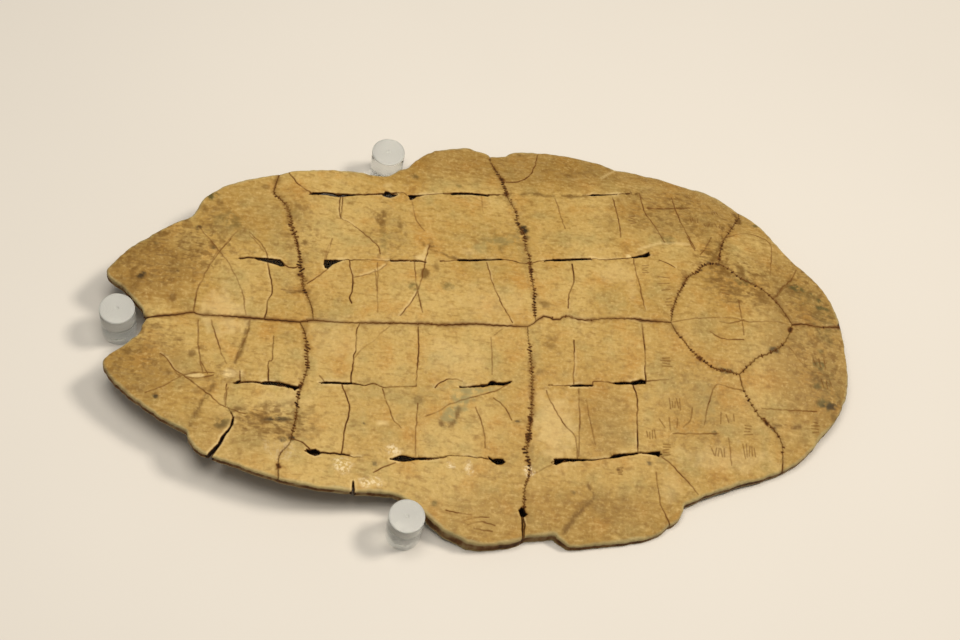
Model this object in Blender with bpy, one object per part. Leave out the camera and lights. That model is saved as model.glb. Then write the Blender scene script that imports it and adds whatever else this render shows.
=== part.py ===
"""Turtle plastron used as an oracle bone, lying ventral side up between three clear rods.

Frame: +X runs along the midline to the head, +Y to the animal's right side and +Z up.
The origin is on the surface that the bone lies on, under the middle of its outline.
Plan sizes are millimetres in the bone's own frame, whose zero is a point on the midline.
"""
import math

import bmesh
import bpy
import numpy as np

for leftover in list(bpy.context.scene.objects):
    bpy.data.objects.remove(leftover, do_unlink=True)

MM = 0.001

# Size of the bone in plan, and the size that the plan points below are measured at, in millimetres
BONE_LENGTH = 251.5
BONE_WIDTH = 155.2
MEASURED_LENGTH = 251.5
MEASURED_WIDTH = 155.2

# Section of the plate, in millimetres
REST_HEIGHT = 15.5
PLATE_THICKNESS = 4.6
BRIDGE_SWELLING = 2.4
RIM_ROUNDING = 1.3
UNDER_ROUNDING = 0.9
SUTURE_GAP = 0.3
BRIDGE_SPAN = (-20.0, 62.0)
BRIDGE_REAR_RAMP = (-45.0, -5.0)
BRIDGE_FRONT_RAMP = (45.0, 80.0)
BRIDGE_SIDE_RAMP = (35.0, 70.0)

# Fall of the top surface away from the midline: stations along X and the coefficient of y squared
DOME_STATIONS = (-130.0, -60.0, -30.0, 10.0, 55.0, 99.0, 130.0)
DOME_FALL = (0.0, 0.0, 0.0012, 0.0018, 0.0023, 0.0037, 0.0037)
HEAD_FALL_START = 70.0
HEAD_FALL_LENGTH = 55.0
HEAD_FALL = 6.0

# Spacing of the facets, in millimetres
OUTLINE_STEP = 5.5
GRID_STEP = 14.0

# Hollows in the back: a long chiselled one with a round drilled one beside it
HOLLOW_STATIONS = (-92.0, -69.5, -48.0, -25.0, 0.5, 30.5, 50.5, 72.0)
HOLLOW_ROWS = {
    "outer_right": ((-60.0, 51.0), (0.0, 55.0), (52.0, 57.6), (72.0, 52.5)),
    "inner_right": ((-92.0, 22.5), (0.0, 25.2), (55.0, 27.6)),
    "inner_left": ((-92.0, -22.0), (-69.0, -23.8), (0.0, -23.6), (55.0, -21.8)),
    "outer_left": ((-58.0, -47.4), (0.0, -48.8), (30.0, -48.8), (52.0, -46.2), (72.0, -39.0)),
}
CHISEL_LENGTH = 15.0
CHISEL_WIDTH = 5.6
CHISEL_DEPTH = 3.7
DRILL_DIAMETER = 8.0
DRILL_DEPTH = 2.5
DRILL_OFFSET = 5.6
HOLLOW_RIM_MARGIN = 9.0

# Rods of clear acrylic, and where their axes stand
ROD_DIAMETER = 11.5
ROD_HEIGHT = 14.5
ROD_CHAMFER = 0.4
RODS = {
    "support_peg_tail": (-118.9, 4.2),
    "support_peg_left": (-27.1, -69.4),
    "support_peg_right": (-28.1, 69.1),
}

# Points where sutures meet each other or the rim
TAIL_NOTCH = (-109.2, 0.5)
XIPHI_MID_LEFT = (-59.8, -0.7)
XIPHI_MID_RIGHT = (-55.4, 0.1)
HYO_MID_LEFT = (16.0, -1.6)
HYO_MID_RIGHT = (19.0, 0.5)
ENTO_REAR = (65.5, 0.5)
ENTO_RIGHT = (86.5, 26.0)
ENTO_LEFT = (87.3, -18.4)
ENTO_FRONT = (109.4, 1.8)
HEAD_TIP = (128.6, 3.2)
XIPHI_RIM_RIGHT = (-66.3, 58.3)
XIPHI_RIM_LEFT = (-66.9, -56.8)
HYO_RIM_RIGHT = (9.8, 75.2)
HYO_RIM_LEFT = (10.4, -73.4)
EPI_RIM_RIGHT = (100.2, 54.6)
EPI_RIM_LEFT = (100.1, -49.9)

# Sutures between the bones, from the midline outward or from tail to head
SUTURES = {
    "mid_xiphi": (TAIL_NOTCH, (-99.6, 1.6), (-94.7, 2.6), (-85.4, 1.4), (-72.0, 0.3), XIPHI_MID_LEFT),
    "mid_step_rear": (XIPHI_MID_LEFT, XIPHI_MID_RIGHT),
    "mid_hypo": (XIPHI_MID_RIGHT, (-45.0, -0.7), (-20.0, -0.9), (-5.0, -1.0), HYO_MID_LEFT),
    "mid_step_front": (HYO_MID_LEFT, HYO_MID_RIGHT),
    "mid_hyo": (HYO_MID_RIGHT, (22.5, 2.4), (25.5, 1.3), (29.6, 2.6), (34.0, 1.4), (50.0, 1.9), ENTO_REAR),
    "mid_epi": (ENTO_FRONT, (119.3, 2.2), HEAD_TIP),
    "xiphi_hypo_right": (XIPHI_MID_RIGHT, (-58.5, 12.0), (-59.4, 20.0), (-60.9, 32.2), (-63.0, 43.5),
                         (-65.6, 47.2), (-68.2, 50.0), XIPHI_RIM_RIGHT),
    "xiphi_hypo_left": (XIPHI_MID_LEFT, (-57.9, -5.0), (-57.6, -15.0), (-60.3, -25.4), (-61.2, -35.0),
                        (-62.8, -42.5), (-66.8, -49.6), XIPHI_RIM_LEFT),
    "hyo_hypo_right": (HYO_MID_RIGHT, (19.4, 14.0), (18.8, 28.0), (18.1, 36.0), (16.4, 44.0),
                       (13.6, 56.0), (12.7, 62.5), (9.8, 70.5), HYO_RIM_RIGHT),
    "hyo_hypo_left": (HYO_MID_LEFT, (16.1, -14.0), (15.5, -30.0), (13.4, -44.0), (13.6, -52.0),
                      (11.3, -60.9), (10.6, -67.0), HYO_RIM_LEFT),
    "hyo_ento_right": (ENTO_REAR, (69.4, 11.6), (73.0, 17.8), (80.0, 24.2), ENTO_RIGHT),
    "hyo_ento_left": (ENTO_REAR, (71.0, -9.8), (76.5, -15.2), (82.4, -17.4), ENTO_LEFT),
    "epi_ento_right": (ENTO_RIGHT, (92.8, 20.4), (100.8, 15.6), (105.2, 9.9), ENTO_FRONT),
    "epi_ento_left": (ENTO_LEFT, (91.6, -14.4), (101.4, -9.0), (106.2, -4.0), ENTO_FRONT),
    "epi_hyo_right": (ENTO_RIGHT, (88.6, 33.5), (94.0, 43.2), EPI_RIM_RIGHT),
    "epi_hyo_left": (ENTO_LEFT, (90.0, -27.6), (97.0, -36.0), (100.6, -42.0), EPI_RIM_LEFT),
}

# The outer rim of each bone, going from the tail forward
RIMS = {
    "xiphiplastron_right": (TAIL_NOTCH, (-113.0, 7.0), (-121.0, 14.8), (-122.9, 17.6), (-117.5, 25.2),
                            (-101.5, 37.6), (-96.0, 39.9), (-92.2, 47.2), (-80.0, 54.8), XIPHI_RIM_RIGHT),
    "hypoplastron_right": (XIPHI_RIM_RIGHT, (-55.0, 61.0), (-42.0, 62.3), (-31.3, 61.4), (-22.6, 65.4),
                           (-16.0, 72.4), (-8.9, 76.6), (1.5, 79.2), (5.0, 77.6), HYO_RIM_RIGHT),
    "hyoplastron_right": (HYO_RIM_RIGHT, (15.4, 76.0), (18.8, 78.5), (31.0, 79.2), (47.0, 76.4),
                          (55.6, 72.0), (71.3, 69.7), (88.0, 64.7), (95.5, 60.3), EPI_RIM_RIGHT),
    "epiplastron_right": (EPI_RIM_RIGHT, (108.4, 43.8), (116.0, 29.6), (124.0, 19.6), HEAD_TIP),
    "epiplastron_left": (EPI_RIM_LEFT, (111.7, -42.1), (122.6, -30.2), (128.2, -15.0), HEAD_TIP),
    "hyoplastron_left": (HYO_RIM_LEFT, (20.8, -72.1), (25.6, -76.0), (40.0, -74.8), (52.0, -72.8),
                         (60.4, -68.6), (65.2, -62.1), (80.0, -56.3), EPI_RIM_LEFT),
    "hypoplastron_left": (XIPHI_RIM_LEFT, (-52.0, -59.5), (-31.3, -60.2), (-22.6, -64.6), (-17.2, -69.6),
                          (-9.0, -74.5), (-2.0, -76.0), (5.5, -75.1), HYO_RIM_LEFT),
    "xiphiplastron_left": (TAIL_NOTCH, (-112.1, -5.8), (-120.6, -12.9), (-122.4, -16.4), (-117.0, -24.6),
                           (-105.0, -34.6), (-96.2, -39.9), (-93.4, -45.0), (-87.6, -49.0),
                           (-77.0, -52.9), XIPHI_RIM_LEFT),
}

# Each bone as a closed run of curves; a minus sign walks a curve backwards
BONES = {
    "xiphiplastron_right": ("mid_xiphi", "mid_step_rear", "xiphi_hypo_right", "-rim"),
    "xiphiplastron_left": ("mid_xiphi", "xiphi_hypo_left", "-rim"),
    "hypoplastron_right": ("mid_hypo", "mid_step_front", "hyo_hypo_right", "-rim", "-xiphi_hypo_right"),
    "hypoplastron_left": ("mid_step_rear", "mid_hypo", "hyo_hypo_left", "-rim", "-xiphi_hypo_left"),
    "hyoplastron_right": ("mid_hyo", "hyo_ento_right", "epi_hyo_right", "-rim", "-hyo_hypo_right"),
    "hyoplastron_left": ("mid_step_front", "mid_hyo", "hyo_ento_left", "epi_hyo_left", "-rim",
                         "-hyo_hypo_left"),
    "entoplastron": ("hyo_ento_right", "epi_ento_right", "-epi_ento_left", "-hyo_ento_left"),
    "epiplastron_right": ("mid_epi", "-rim", "-epi_hyo_right", "epi_ento_right"),
    "epiplastron_left": ("mid_epi", "-rim", "-epi_hyo_left", "epi_ento_left"),
}

# Openings right through the bone: both ends, greatest width and where along it that falls
OPENINGS = {
    "outer_right_1": ((-55.8, 50.9), (-39.3, 51.8), 0.9, 0.6),
    "outer_right_2": ((-31.0, 53.1), (-26.6, 53.3), 2.4, 0.4),
    "outer_right_3": ((-21.6, 52.7), (-16.9, 53.4), 1.8, 0.2),
    "outer_right_4": ((-6.8, 54.6), (7.8, 55.0), 0.8, 0.3),
    "outer_right_5": ((43.4, 56.7), (54.0, 58.0), 0.8, 0.3),
    "inner_right_1": ((-76.0, 23.9), (-65.2, 22.0), 1.5, 0.75),
    "inner_right_2": ((-51.6, 21.9), (-45.0, 23.8), 2.6, 0.2),
    "inner_right_3": ((-6.2, 24.8), (9.3, 25.6), 0.9, 0.4),
    "inner_right_4": ((23.7, 25.4), (39.6, 26.4), 0.8, 0.4),
    "inner_right_5": ((55.4, 27.3), (61.8, 28.9), 1.4, 0.8),
    "inner_left_1": ((-73.0, -23.0), (-61.2, -24.9), 1.3, 0.7),
    "inner_left_2": ((-53.7, -22.9), (-43.4, -23.1), 0.8, 0.5),
    "inner_left_3": ((-8.1, -24.1), (8.8, -22.2), 2.0, 0.4),
    "inner_left_4": ((27.0, -23.2), (36.4, -23.0), 0.7, 0.6),
    "inner_left_5": ((46.0, -22.3), (54.5, -21.5), 1.1, 0.8),
    "outer_left_1": ((-58.4, -47.2), (-53.9, -47.7), 1.9, 0.4),
    "outer_left_2": ((-31.4, -48.8), (-18.0, -48.6), 1.6, 0.4),
    "outer_left_3": ((0.4, -48.4), (5.2, -49.6), 2.0, 0.6),
    "outer_left_4": ((21.5, -49.1), (35.0, -48.3), 1.5, 0.15),
    "outer_left_5": ((40.3, -47.5), (49.3, -46.0), 0.9, 0.5),
    "outer_left_6": ((53.3, -45.9), (57.9, -46.3), 1.3, 0.8),
    "tail_crack": ((-90.6, -53.0), (-81.4, -35.2), 2.1, 0.1),
    "rim_crack": ((-43.5, -61.5), (-43.5, -57.0), 0.8, 0.1),
    "wing_joint": ((10.2, -76.5), (11.2, -63.4), 2.6, 0.2),
}
OPENING_SWELL = (0.25, 0.8, 1.0, 0.8, 0.25)
OPENING_DEPTH = 30.0

# Fineness of the round parts, and how near two curve ends count as one point
SAME_POINT = 0.01
CHISEL_SIDES = 10
DRILL_SIDES = 8
BOWL_RINGS = 6
ROD_SIDES = 32


def smooth(anchors, step):
    """Points about `step` apart on a Catmull-Rom curve through the anchors, ends included."""
    knots = [np.array(p, float) for p in anchors]
    knots = [2 * knots[0] - knots[1]] + knots + [2 * knots[-1] - knots[-2]]
    points = [knots[1]]
    for before, start, end, after in zip(knots, knots[1:], knots[2:], knots[3:]):
        count = max(1, round(float(np.linalg.norm(end - start)) / step))
        for i in range(1, count + 1):
            t = i / count
            points.append(0.5 * (2 * start + (end - before) * t
                                 + (2 * before - 5 * start + 4 * end - after) * t * t
                                 + (3 * start - 3 * end + after - before) * t ** 3))
    return points


def curve_of(bone, name):
    """One curve of a bone's outline and whether it is the free rim."""
    backwards = name.startswith("-")
    name = name.lstrip("-")
    points = smooth(RIMS[bone] if name == "rim" else SUTURES[name], OUTLINE_STEP)
    return (points[::-1] if backwards else points), name == "rim"


def bone_outline(bone):
    """The closed outline with half the suture gap taken off, and a flag for rim points."""
    runs = []
    for name in BONES[bone]:
        points, on_rim = curve_of(bone, name)
        if runs and np.linalg.norm(runs[-1][-1][0] - points[0]) > SAME_POINT:
            points = points[::-1]
        runs.append([(p, on_rim) for p in points])
    loop = []
    for run in runs:
        if loop:
            loop[-1] = (loop[-1][0], loop[-1][1] or run[0][1])
        loop.extend(run if not loop else run[1:])
    loop[0] = (loop[0][0], loop[0][1] or loop[-1][1])
    loop.pop()
    points = np.array([p for p, _ in loop])
    area = np.sum(points[:, 0] * np.roll(points[:, 1], -1) - np.roll(points[:, 0], -1) * points[:, 1])
    side = 1.0 if area > 0 else -1.0
    ahead = np.roll(points, -1, axis=0) - points
    ahead /= np.linalg.norm(ahead, axis=1)[:, None]
    inward = side * np.stack([-ahead[:, 1], ahead[:, 0]], axis=1)
    corner = inward + np.roll(inward, 1, axis=0)
    corner /= np.maximum(np.sum(corner * inward, axis=1), 0.5)[:, None]
    return points + corner * SUTURE_GAP / 2, [flag for _, flag in loop]


def smoothstep(value, low, high):
    """0 below `low`, 1 above `high` and a soft climb between them."""
    t = np.clip((value - low) / (high - low), 0.0, 1.0)
    return t * t * (3 - 2 * t)


def top_height(x, y):
    """Height of the ventral face over the surface that the bone lies on."""
    head = np.clip((x - HEAD_FALL_START) / HEAD_FALL_LENGTH, 0.0, None) ** 2 * HEAD_FALL
    return REST_HEIGHT - np.interp(x, DOME_STATIONS, DOME_FALL) * y * y - head


def thickness(x, y):
    """Thickness of the plate, which swells toward the bridges at the sides."""
    along = smoothstep(x, *BRIDGE_REAR_RAMP) * (1 - smoothstep(x, *BRIDGE_FRONT_RAMP))
    return PLATE_THICKNESS + BRIDGE_SWELLING * along * smoothstep(abs(y), *BRIDGE_SIDE_RAMP)


def material(name, colour, roughness, transmission=0.0):
    """A Principled material with a plain colour."""
    made = bpy.data.materials.new(name)
    made.use_nodes = True
    shader = made.node_tree.nodes["Principled BSDF"]
    shader.inputs["Base Color"].default_value = (*colour, 1.0)
    shader.inputs["Roughness"].default_value = roughness
    shader.inputs["Metallic"].default_value = 0.0
    shader.inputs["Transmission Weight"].default_value = transmission
    return made


def add_object(name, bm, finish):
    """Turn a bmesh into a named object with its material."""
    bmesh.ops.recalc_face_normals(bm, faces=bm.faces)
    mesh = bpy.data.meshes.new(name)
    bm.to_mesh(mesh)
    bm.free()
    mesh.materials.append(finish)
    made = bpy.data.objects.new(name, mesh)
    bpy.context.collection.objects.link(made)
    return made


def cut_grid(bm):
    """Cut the slab into cells, so that it can follow the dome."""
    for axis in (0, 1):
        reach = max(abs(v.co[axis]) for v in bm.verts)
        lines = int(reach / (GRID_STEP * MM))
        for line in range(-lines, lines + 1):
            place = [0.0, 0.0, 0.0]
            normal = [0.0, 0.0, 0.0]
            place[axis] = line * GRID_STEP * MM
            normal[axis] = 1.0
            everything = list(bm.verts) + list(bm.edges) + list(bm.faces)
            bmesh.ops.bisect_plane(bm, geom=everything, plane_co=place, plane_no=normal, dist=1e-5)


def round_rim(bm, flag):
    """Round the free rim: all of it above, and below it outside the sawn bridges."""
    def edges_at(height, keep):
        found = []
        for edge in bm.edges:
            a, b = edge.verts
            level = abs(a.co.z - height) < 1e-6 and abs(b.co.z - height) < 1e-6
            if level and a[flag] and b[flag] and keep((a.co.x + b.co.x) / 2):
                found.append(edge)
        return found

    def outside_bridge(x):
        return not BRIDGE_SPAN[0] * MM < x < BRIDGE_SPAN[1] * MM

    upper = edges_at(0.0, lambda x: True)
    bmesh.ops.bevel(bm, geom=upper, offset=RIM_ROUNDING * MM, segments=2, profile=0.5, affect="EDGES",
                    clamp_overlap=True)
    lower = edges_at(-PLATE_THICKNESS * MM, outside_bridge)
    bmesh.ops.bevel(bm, geom=lower, offset=UNDER_ROUNDING * MM, segments=1, affect="EDGES",
                    clamp_overlap=True)


def saw_flat(bm):
    """Saw off what reaches below the surface, which leaves the flat edges that the bone lies on."""
    everything = list(bm.verts) + list(bm.edges) + list(bm.faces)
    cut = bmesh.ops.bisect_plane(bm, geom=everything, plane_co=(0, 0, 0), plane_no=(0, 0, -1),
                                 dist=1e-6, clear_outer=True)
    border = [e for e in cut["geom_cut"] if isinstance(e, bmesh.types.BMEdge) and e.is_boundary]
    if border:
        bmesh.ops.holes_fill(bm, edges=border, sides=0)


def bone(name, finish):
    """One bone of the plastron: a slab of its outline, rounded, domed and sawn flat below."""
    outline, on_rim = bone_outline(name)
    bm = bmesh.new()
    flag = bm.verts.layers.int.new("rim")
    ring = []
    for (x, y), rim in zip(outline, on_rim):
        vert = bm.verts.new((x * MM, y * MM, 0.0))
        vert[flag] = int(rim)
        ring.append(vert)
    face = bm.faces.new(ring)
    slab = bmesh.ops.extrude_face_region(bm, geom=[face], use_keep_orig=True)
    moved = [v for v in slab["geom"] if isinstance(v, bmesh.types.BMVert)]
    bmesh.ops.translate(bm, verts=moved, vec=(0.0, 0.0, -PLATE_THICKNESS * MM))
    bmesh.ops.recalc_face_normals(bm, faces=bm.faces)
    round_rim(bm, flag)
    cut_grid(bm)
    bmesh.ops.triangulate(bm, faces=bm.faces)
    for vert in bm.verts:
        x, y, z = (c / MM for c in vert.co)
        depth = z / PLATE_THICKNESS * thickness(x, y)
        vert.co.z = (top_height(x, y) + depth) * MM
    saw_flat(bm)
    bmesh.ops.triangulate(bm, faces=bm.faces)
    return add_object(name, bm, finish)


def opening_prism(bm, start, end, width, widest):
    """A spindle-shaped prism that runs through the plate from one end to the other."""
    start, end = np.array(start), np.array(end)
    along = end - start
    across = np.array([-along[1], along[0]]) / np.linalg.norm(along)
    stations = np.interp((0, 1, 2, 3, 4), (0, 2, 4), (0, widest, 1))
    shape = list(zip(stations, OPENING_SWELL))
    ring = [start + along * t + across * width / 2 * swell for t, swell in shape]
    ring += [start + along * t - across * width / 2 * swell for t, swell in reversed(shape)]
    below = (REST_HEIGHT - OPENING_DEPTH) / 2
    face = bm.faces.new([bm.verts.new((p[0] * MM, p[1] * MM, below * MM)) for p in ring])
    grown = bmesh.ops.extrude_face_region(bm, geom=[face], use_keep_orig=True)
    lifted = [v for v in grown["geom"] if isinstance(v, bmesh.types.BMVert)]
    bmesh.ops.translate(bm, verts=lifted, vec=(0.0, 0.0, OPENING_DEPTH * MM))


def hollow_places():
    """Where the hollows are: each station of each row that lies well inside the rim."""
    for row, line in HOLLOW_ROWS.items():
        stations = [p[0] for p in line]
        levels = [p[1] for p in line]
        for x in HOLLOW_STATIONS:
            if stations[0] - HOLLOW_RIM_MARGIN <= x <= stations[-1]:
                yield x, float(np.interp(x, stations, levels))


def add_bowl(bm, x, y, half_length, half_width, depth, segments):
    """A rounded cutter that sinks `depth` into the underside at a place."""
    under = float(top_height(x, y) - thickness(x, y))
    bowl = bmesh.ops.create_uvsphere(bm, u_segments=segments, v_segments=BOWL_RINGS,
                                     radius=1.0)["verts"]
    bmesh.ops.scale(bm, verts=bowl, vec=(half_length * MM, half_width * MM, depth * MM))
    bmesh.ops.translate(bm, verts=bowl, vec=(x * MM, y * MM, under * MM))


def cutter(name, bm):
    """An object that only cuts others."""
    made = add_object(name, bm, bpy.data.materials["bone"])
    made.hide_render = True
    made.display_type = "WIRE"
    return made


def rod(name, place, finish):
    """A short rod of acrylic standing upright, its ends turned with a small chamfer."""
    bm = bmesh.new()
    bmesh.ops.create_cone(bm, cap_ends=True, segments=ROD_SIDES, radius1=ROD_DIAMETER / 2 * MM,
                          radius2=ROD_DIAMETER / 2 * MM, depth=ROD_HEIGHT * MM)
    ends = [e for e in bm.edges if abs(e.verts[0].co.z - e.verts[1].co.z) < 1e-7]
    bmesh.ops.bevel(bm, geom=ends, offset=ROD_CHAMFER * MM, segments=1, affect="EDGES", clamp_overlap=True)
    made = add_object(name, bm, finish)
    made.location = (place[0] * MM, place[1] * MM, ROD_HEIGHT / 2 * MM)
    made.data.shade_smooth()
    made.data.set_sharp_from_angle(angle=math.radians(30))
    return made


bone_finish = material("bone", (0.58, 0.38, 0.13), 0.45)
rod_finish = material("clear_acrylic", (0.95, 0.95, 0.95), 0.05, transmission=1.0)

bones = [bone(name, bone_finish) for name in BONES]

openings = bmesh.new()
for ends in OPENINGS.values():
    opening_prism(openings, *ends)
chisels = bmesh.new()
drills = bmesh.new()
for x, y in hollow_places():
    add_bowl(chisels, x, y, CHISEL_LENGTH / 2, CHISEL_WIDTH / 2, CHISEL_DEPTH, CHISEL_SIDES)
    toward_middle = y - math.copysign(DRILL_OFFSET, y)
    add_bowl(drills, x, toward_middle, DRILL_DIAMETER / 2, DRILL_DIAMETER / 2, DRILL_DEPTH, DRILL_SIDES)

cutters = [cutter("opening_cutter", openings)]
cutters += [cutter("chisel_cutter", chisels), cutter("drill_cutter", drills)]
for plate in bones:
    for tool in cutters:
        cut = plate.modifiers.new(tool.name, "BOOLEAN")
        cut.operation = "DIFFERENCE"
        cut.solver = "EXACT"
        cut.object = tool

rods = [rod(name, place, rod_finish) for name, place in RODS.items()]

# Bring the plan to its size, and move everything so that the origin is under the middle of the outline
stretch = np.array((BONE_LENGTH / MEASURED_LENGTH, BONE_WIDTH / MEASURED_WIDTH))
reach = [point * stretch for name in BONES for point in bone_outline(name)[0]]
for place in RODS.values():
    reach += [place * stretch - ROD_DIAMETER / 2, place * stretch + ROD_DIAMETER / 2]
middle = (np.min(reach, axis=0) + np.max(reach, axis=0)) / 2
for made in bones + cutters:
    made.scale = (*stretch, 1.0)
for made in bones + cutters + rods:
    made.location.x = made.location.x * stretch[0] - middle[0] * MM
    made.location.y = made.location.y * stretch[1] - middle[1] * MM
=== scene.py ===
# %% [markdown]
# # A turtle plastron, used as an oracle bone
#
# A plastron is the belly plate of a turtle. It is not one bone but nine, joined by toothed seams
# that are called sutures. This one was scraped smooth, drilled and chiselled from the back, cracked
# by heat, and much later pieced together again. It lies with its belly side up between three short
# rods of clear acrylic.
#
# The solid model is loaded first, and everything below is fitted over it.

# %% Load the solid model
import math

import bmesh
import bpy
import numpy as np
from mathutils import Matrix, Vector


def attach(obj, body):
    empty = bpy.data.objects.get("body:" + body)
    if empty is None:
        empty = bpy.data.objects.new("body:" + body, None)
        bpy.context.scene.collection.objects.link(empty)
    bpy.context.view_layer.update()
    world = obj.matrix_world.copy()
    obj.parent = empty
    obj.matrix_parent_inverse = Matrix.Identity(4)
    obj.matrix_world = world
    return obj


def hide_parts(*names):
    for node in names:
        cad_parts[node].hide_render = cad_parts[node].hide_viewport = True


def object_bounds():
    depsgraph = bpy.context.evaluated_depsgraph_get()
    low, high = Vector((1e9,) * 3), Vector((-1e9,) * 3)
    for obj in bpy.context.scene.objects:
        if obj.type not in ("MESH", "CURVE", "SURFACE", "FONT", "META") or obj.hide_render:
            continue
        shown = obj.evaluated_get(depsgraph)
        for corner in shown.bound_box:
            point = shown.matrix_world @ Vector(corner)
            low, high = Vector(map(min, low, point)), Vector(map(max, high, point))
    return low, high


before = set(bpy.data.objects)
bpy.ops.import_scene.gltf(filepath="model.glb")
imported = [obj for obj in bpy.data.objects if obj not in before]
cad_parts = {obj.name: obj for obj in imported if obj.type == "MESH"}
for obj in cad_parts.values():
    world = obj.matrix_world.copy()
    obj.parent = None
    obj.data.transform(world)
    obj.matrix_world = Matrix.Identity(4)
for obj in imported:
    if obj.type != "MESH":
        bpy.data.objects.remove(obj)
cad_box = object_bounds()
print("solids:", sorted(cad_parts))
print("box in mm:", [round((high - low) * 1000, 1) for low, high in zip(*cad_box)])

# %% [markdown]
# ## The place of things
#
# Every plan point below is in millimetres in the bone's own frame: x runs along the midline to the
# head, y to the animal's right side, and the zero is a point on the midline. The solid model has its
# origin a little beside that zero, so one small shift brings a finished mesh to its place.

# %% Units and the origin
MM = 0.001
ORIGIN = np.array((1.95, 1.55))

print("origin at", ORIGIN, "mm")


# %% [markdown]
# ## The camera
#
# The camera is set before any shape, so that each piece can be judged from the right place as soon
# as it exists. It looks down on the bone from the tail end and the left side, about 59 degrees above
# the table. A lens of about 62 mm keeps the far head end nearly as wide as the near tail.

# %% Camera
lens = bpy.data.cameras.new("camera")
lens.lens = 61.875
lens.sensor_width = 36.0
lens.dof.use_dof = False
camera = bpy.data.objects.new("camera", lens)
bpy.context.scene.collection.objects.link(camera)
right = Vector((0.99001, -0.06133, 0.12693)).normalized()
forward = Vector((0.14061, 0.49360, -0.85825)).normalized()
up = right.cross(forward).normalized()
camera.matrix_world = Matrix((
    (right.x, up.x, -forward.x, -0.07935),
    (right.y, up.y, -forward.y, -0.27279),
    (right.z, up.z, -forward.z, 0.48812),
    (0.0, 0.0, 0.0, 1.0),
))
bpy.context.scene.camera = camera
bpy.context.scene.view_settings.view_transform = "Standard"
print("camera", [round(c, 3) for c in camera.location])

# %% [markdown]
# ## Lines that look grown, broken or worn
#
# A plastron is mostly drawn by its lines: the rim, the sutures and the cracks. Each is stated by a
# few points that were measured, and a smooth curve is run through them. A crack then gets
# small side steps, as bone breaks along its grain, and a suture gets teeth.


# %% Smooth, jagged and toothed lines
SHORTEST_TOOTH = 0.2


def curve(anchors, step):
    """A smooth curve through the anchors, with a point about every `step` millimetres."""
    knots = [np.array(p, float) for p in anchors]
    knots = [2 * knots[0] - knots[1]] + knots + [2 * knots[-1] - knots[-2]]
    points = [knots[1]]
    for before, start, end, after in zip(knots, knots[1:], knots[2:], knots[3:]):
        count = max(1, round(float(np.linalg.norm((end - start)[:2])) / step))
        for i in range(1, count + 1):
            t = i / count
            points.append(0.5 * (2 * start + (end - before) * t
                                 + (2 * before - 5 * start + 4 * end - after) * t * t
                                 + (3 * start - 3 * end + after - before) * t ** 3))
    return np.array(points)


def even(line, step):
    """The same line with evenly spaced points."""
    run = np.concatenate(([0.0], np.cumsum(np.linalg.norm(np.diff(line[:, :2], axis=0), axis=1))))
    count = max(2, int(round(run[-1] / step)) + 1)
    at = np.linspace(0.0, run[-1], count)
    return np.stack([np.interp(at, run, line[:, k]) for k in range(line.shape[1])], axis=1)


def sideways(line):
    """The unit normals of a line at its points."""
    ahead = np.gradient(line[:, :2], axis=0)
    ahead /= np.maximum(np.linalg.norm(ahead, axis=1), 1e-9)[:, None]
    return np.stack([-ahead[:, 1], ahead[:, 0]], axis=1)


def fade_ends(count, reach):
    """1 along a line and falling to 0 over `reach` points at both ends."""
    place = np.arange(count)
    return np.clip(np.minimum(place, count - 1 - place) / reach, 0.0, 1.0)


def jagged(line, step, reach, seed):
    """A line with small random side steps, and its ends kept."""
    line = even(line[:, :2], step)
    rough = np.random.default_rng(seed).normal(size=len(line))
    rough = np.convolve(rough, (0.3, 0.5, 0.3), "same") * reach
    return line + sideways(line) * (rough * fade_ends(len(line), 3))[:, None]


def toothed(line, pitch, seed):
    """A suture: a line of x, y and tooth length, with teeth to both sides at that pitch."""
    line = even(line, pitch / 2)
    rng = np.random.default_rng(seed)
    size = rng.uniform(0.45, 1.0, len(line)) * np.clip(line[:, 2], 0.0, None)
    side = np.where(np.arange(len(line)) % 2, 1.0, -1.0)
    shift = size * side * fade_ends(len(line), 3)
    return line[:, :2] + sideways(line) * shift[:, None]


def comb(line, pitch, seed):
    """The gaps between a suture's teeth: short strokes across it, one to each tooth."""
    line = even(line, pitch)
    rng = np.random.default_rng(seed)
    across = sideways(line)
    strokes = []
    for (x, y, tooth), normal in zip(line[1:-1], across[1:-1]):
        ahead = np.array((normal[1], -normal[0]))
        half = tooth * rng.uniform(0.35, 0.95)
        lean = ahead * rng.normal(0.15, 0.35)
        middle = np.array((x, y)) + normal * rng.normal(0.0, 0.3) * tooth
        middle = middle + ahead * rng.normal(0.0, 0.15)
        arm = (normal + lean) * half
        if half > SHORTEST_TOOTH:
            strokes.append(np.array((middle - arm, middle + arm)))
    return strokes


print("a curve of 10 mm has", len(curve(((0.0, 0.0), (10.0, 0.0)), 0.5)), "points")

# %% [markdown]
# ## The sutures
#
# Young turtle bones meet in straight seams, and old ones grow into each other like two combs. Each
# suture below is a list of x, y and the length of its teeth there. The midline is nearly plain, and
# the seams that run across the plate have teeth of about a millimetre.

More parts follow.
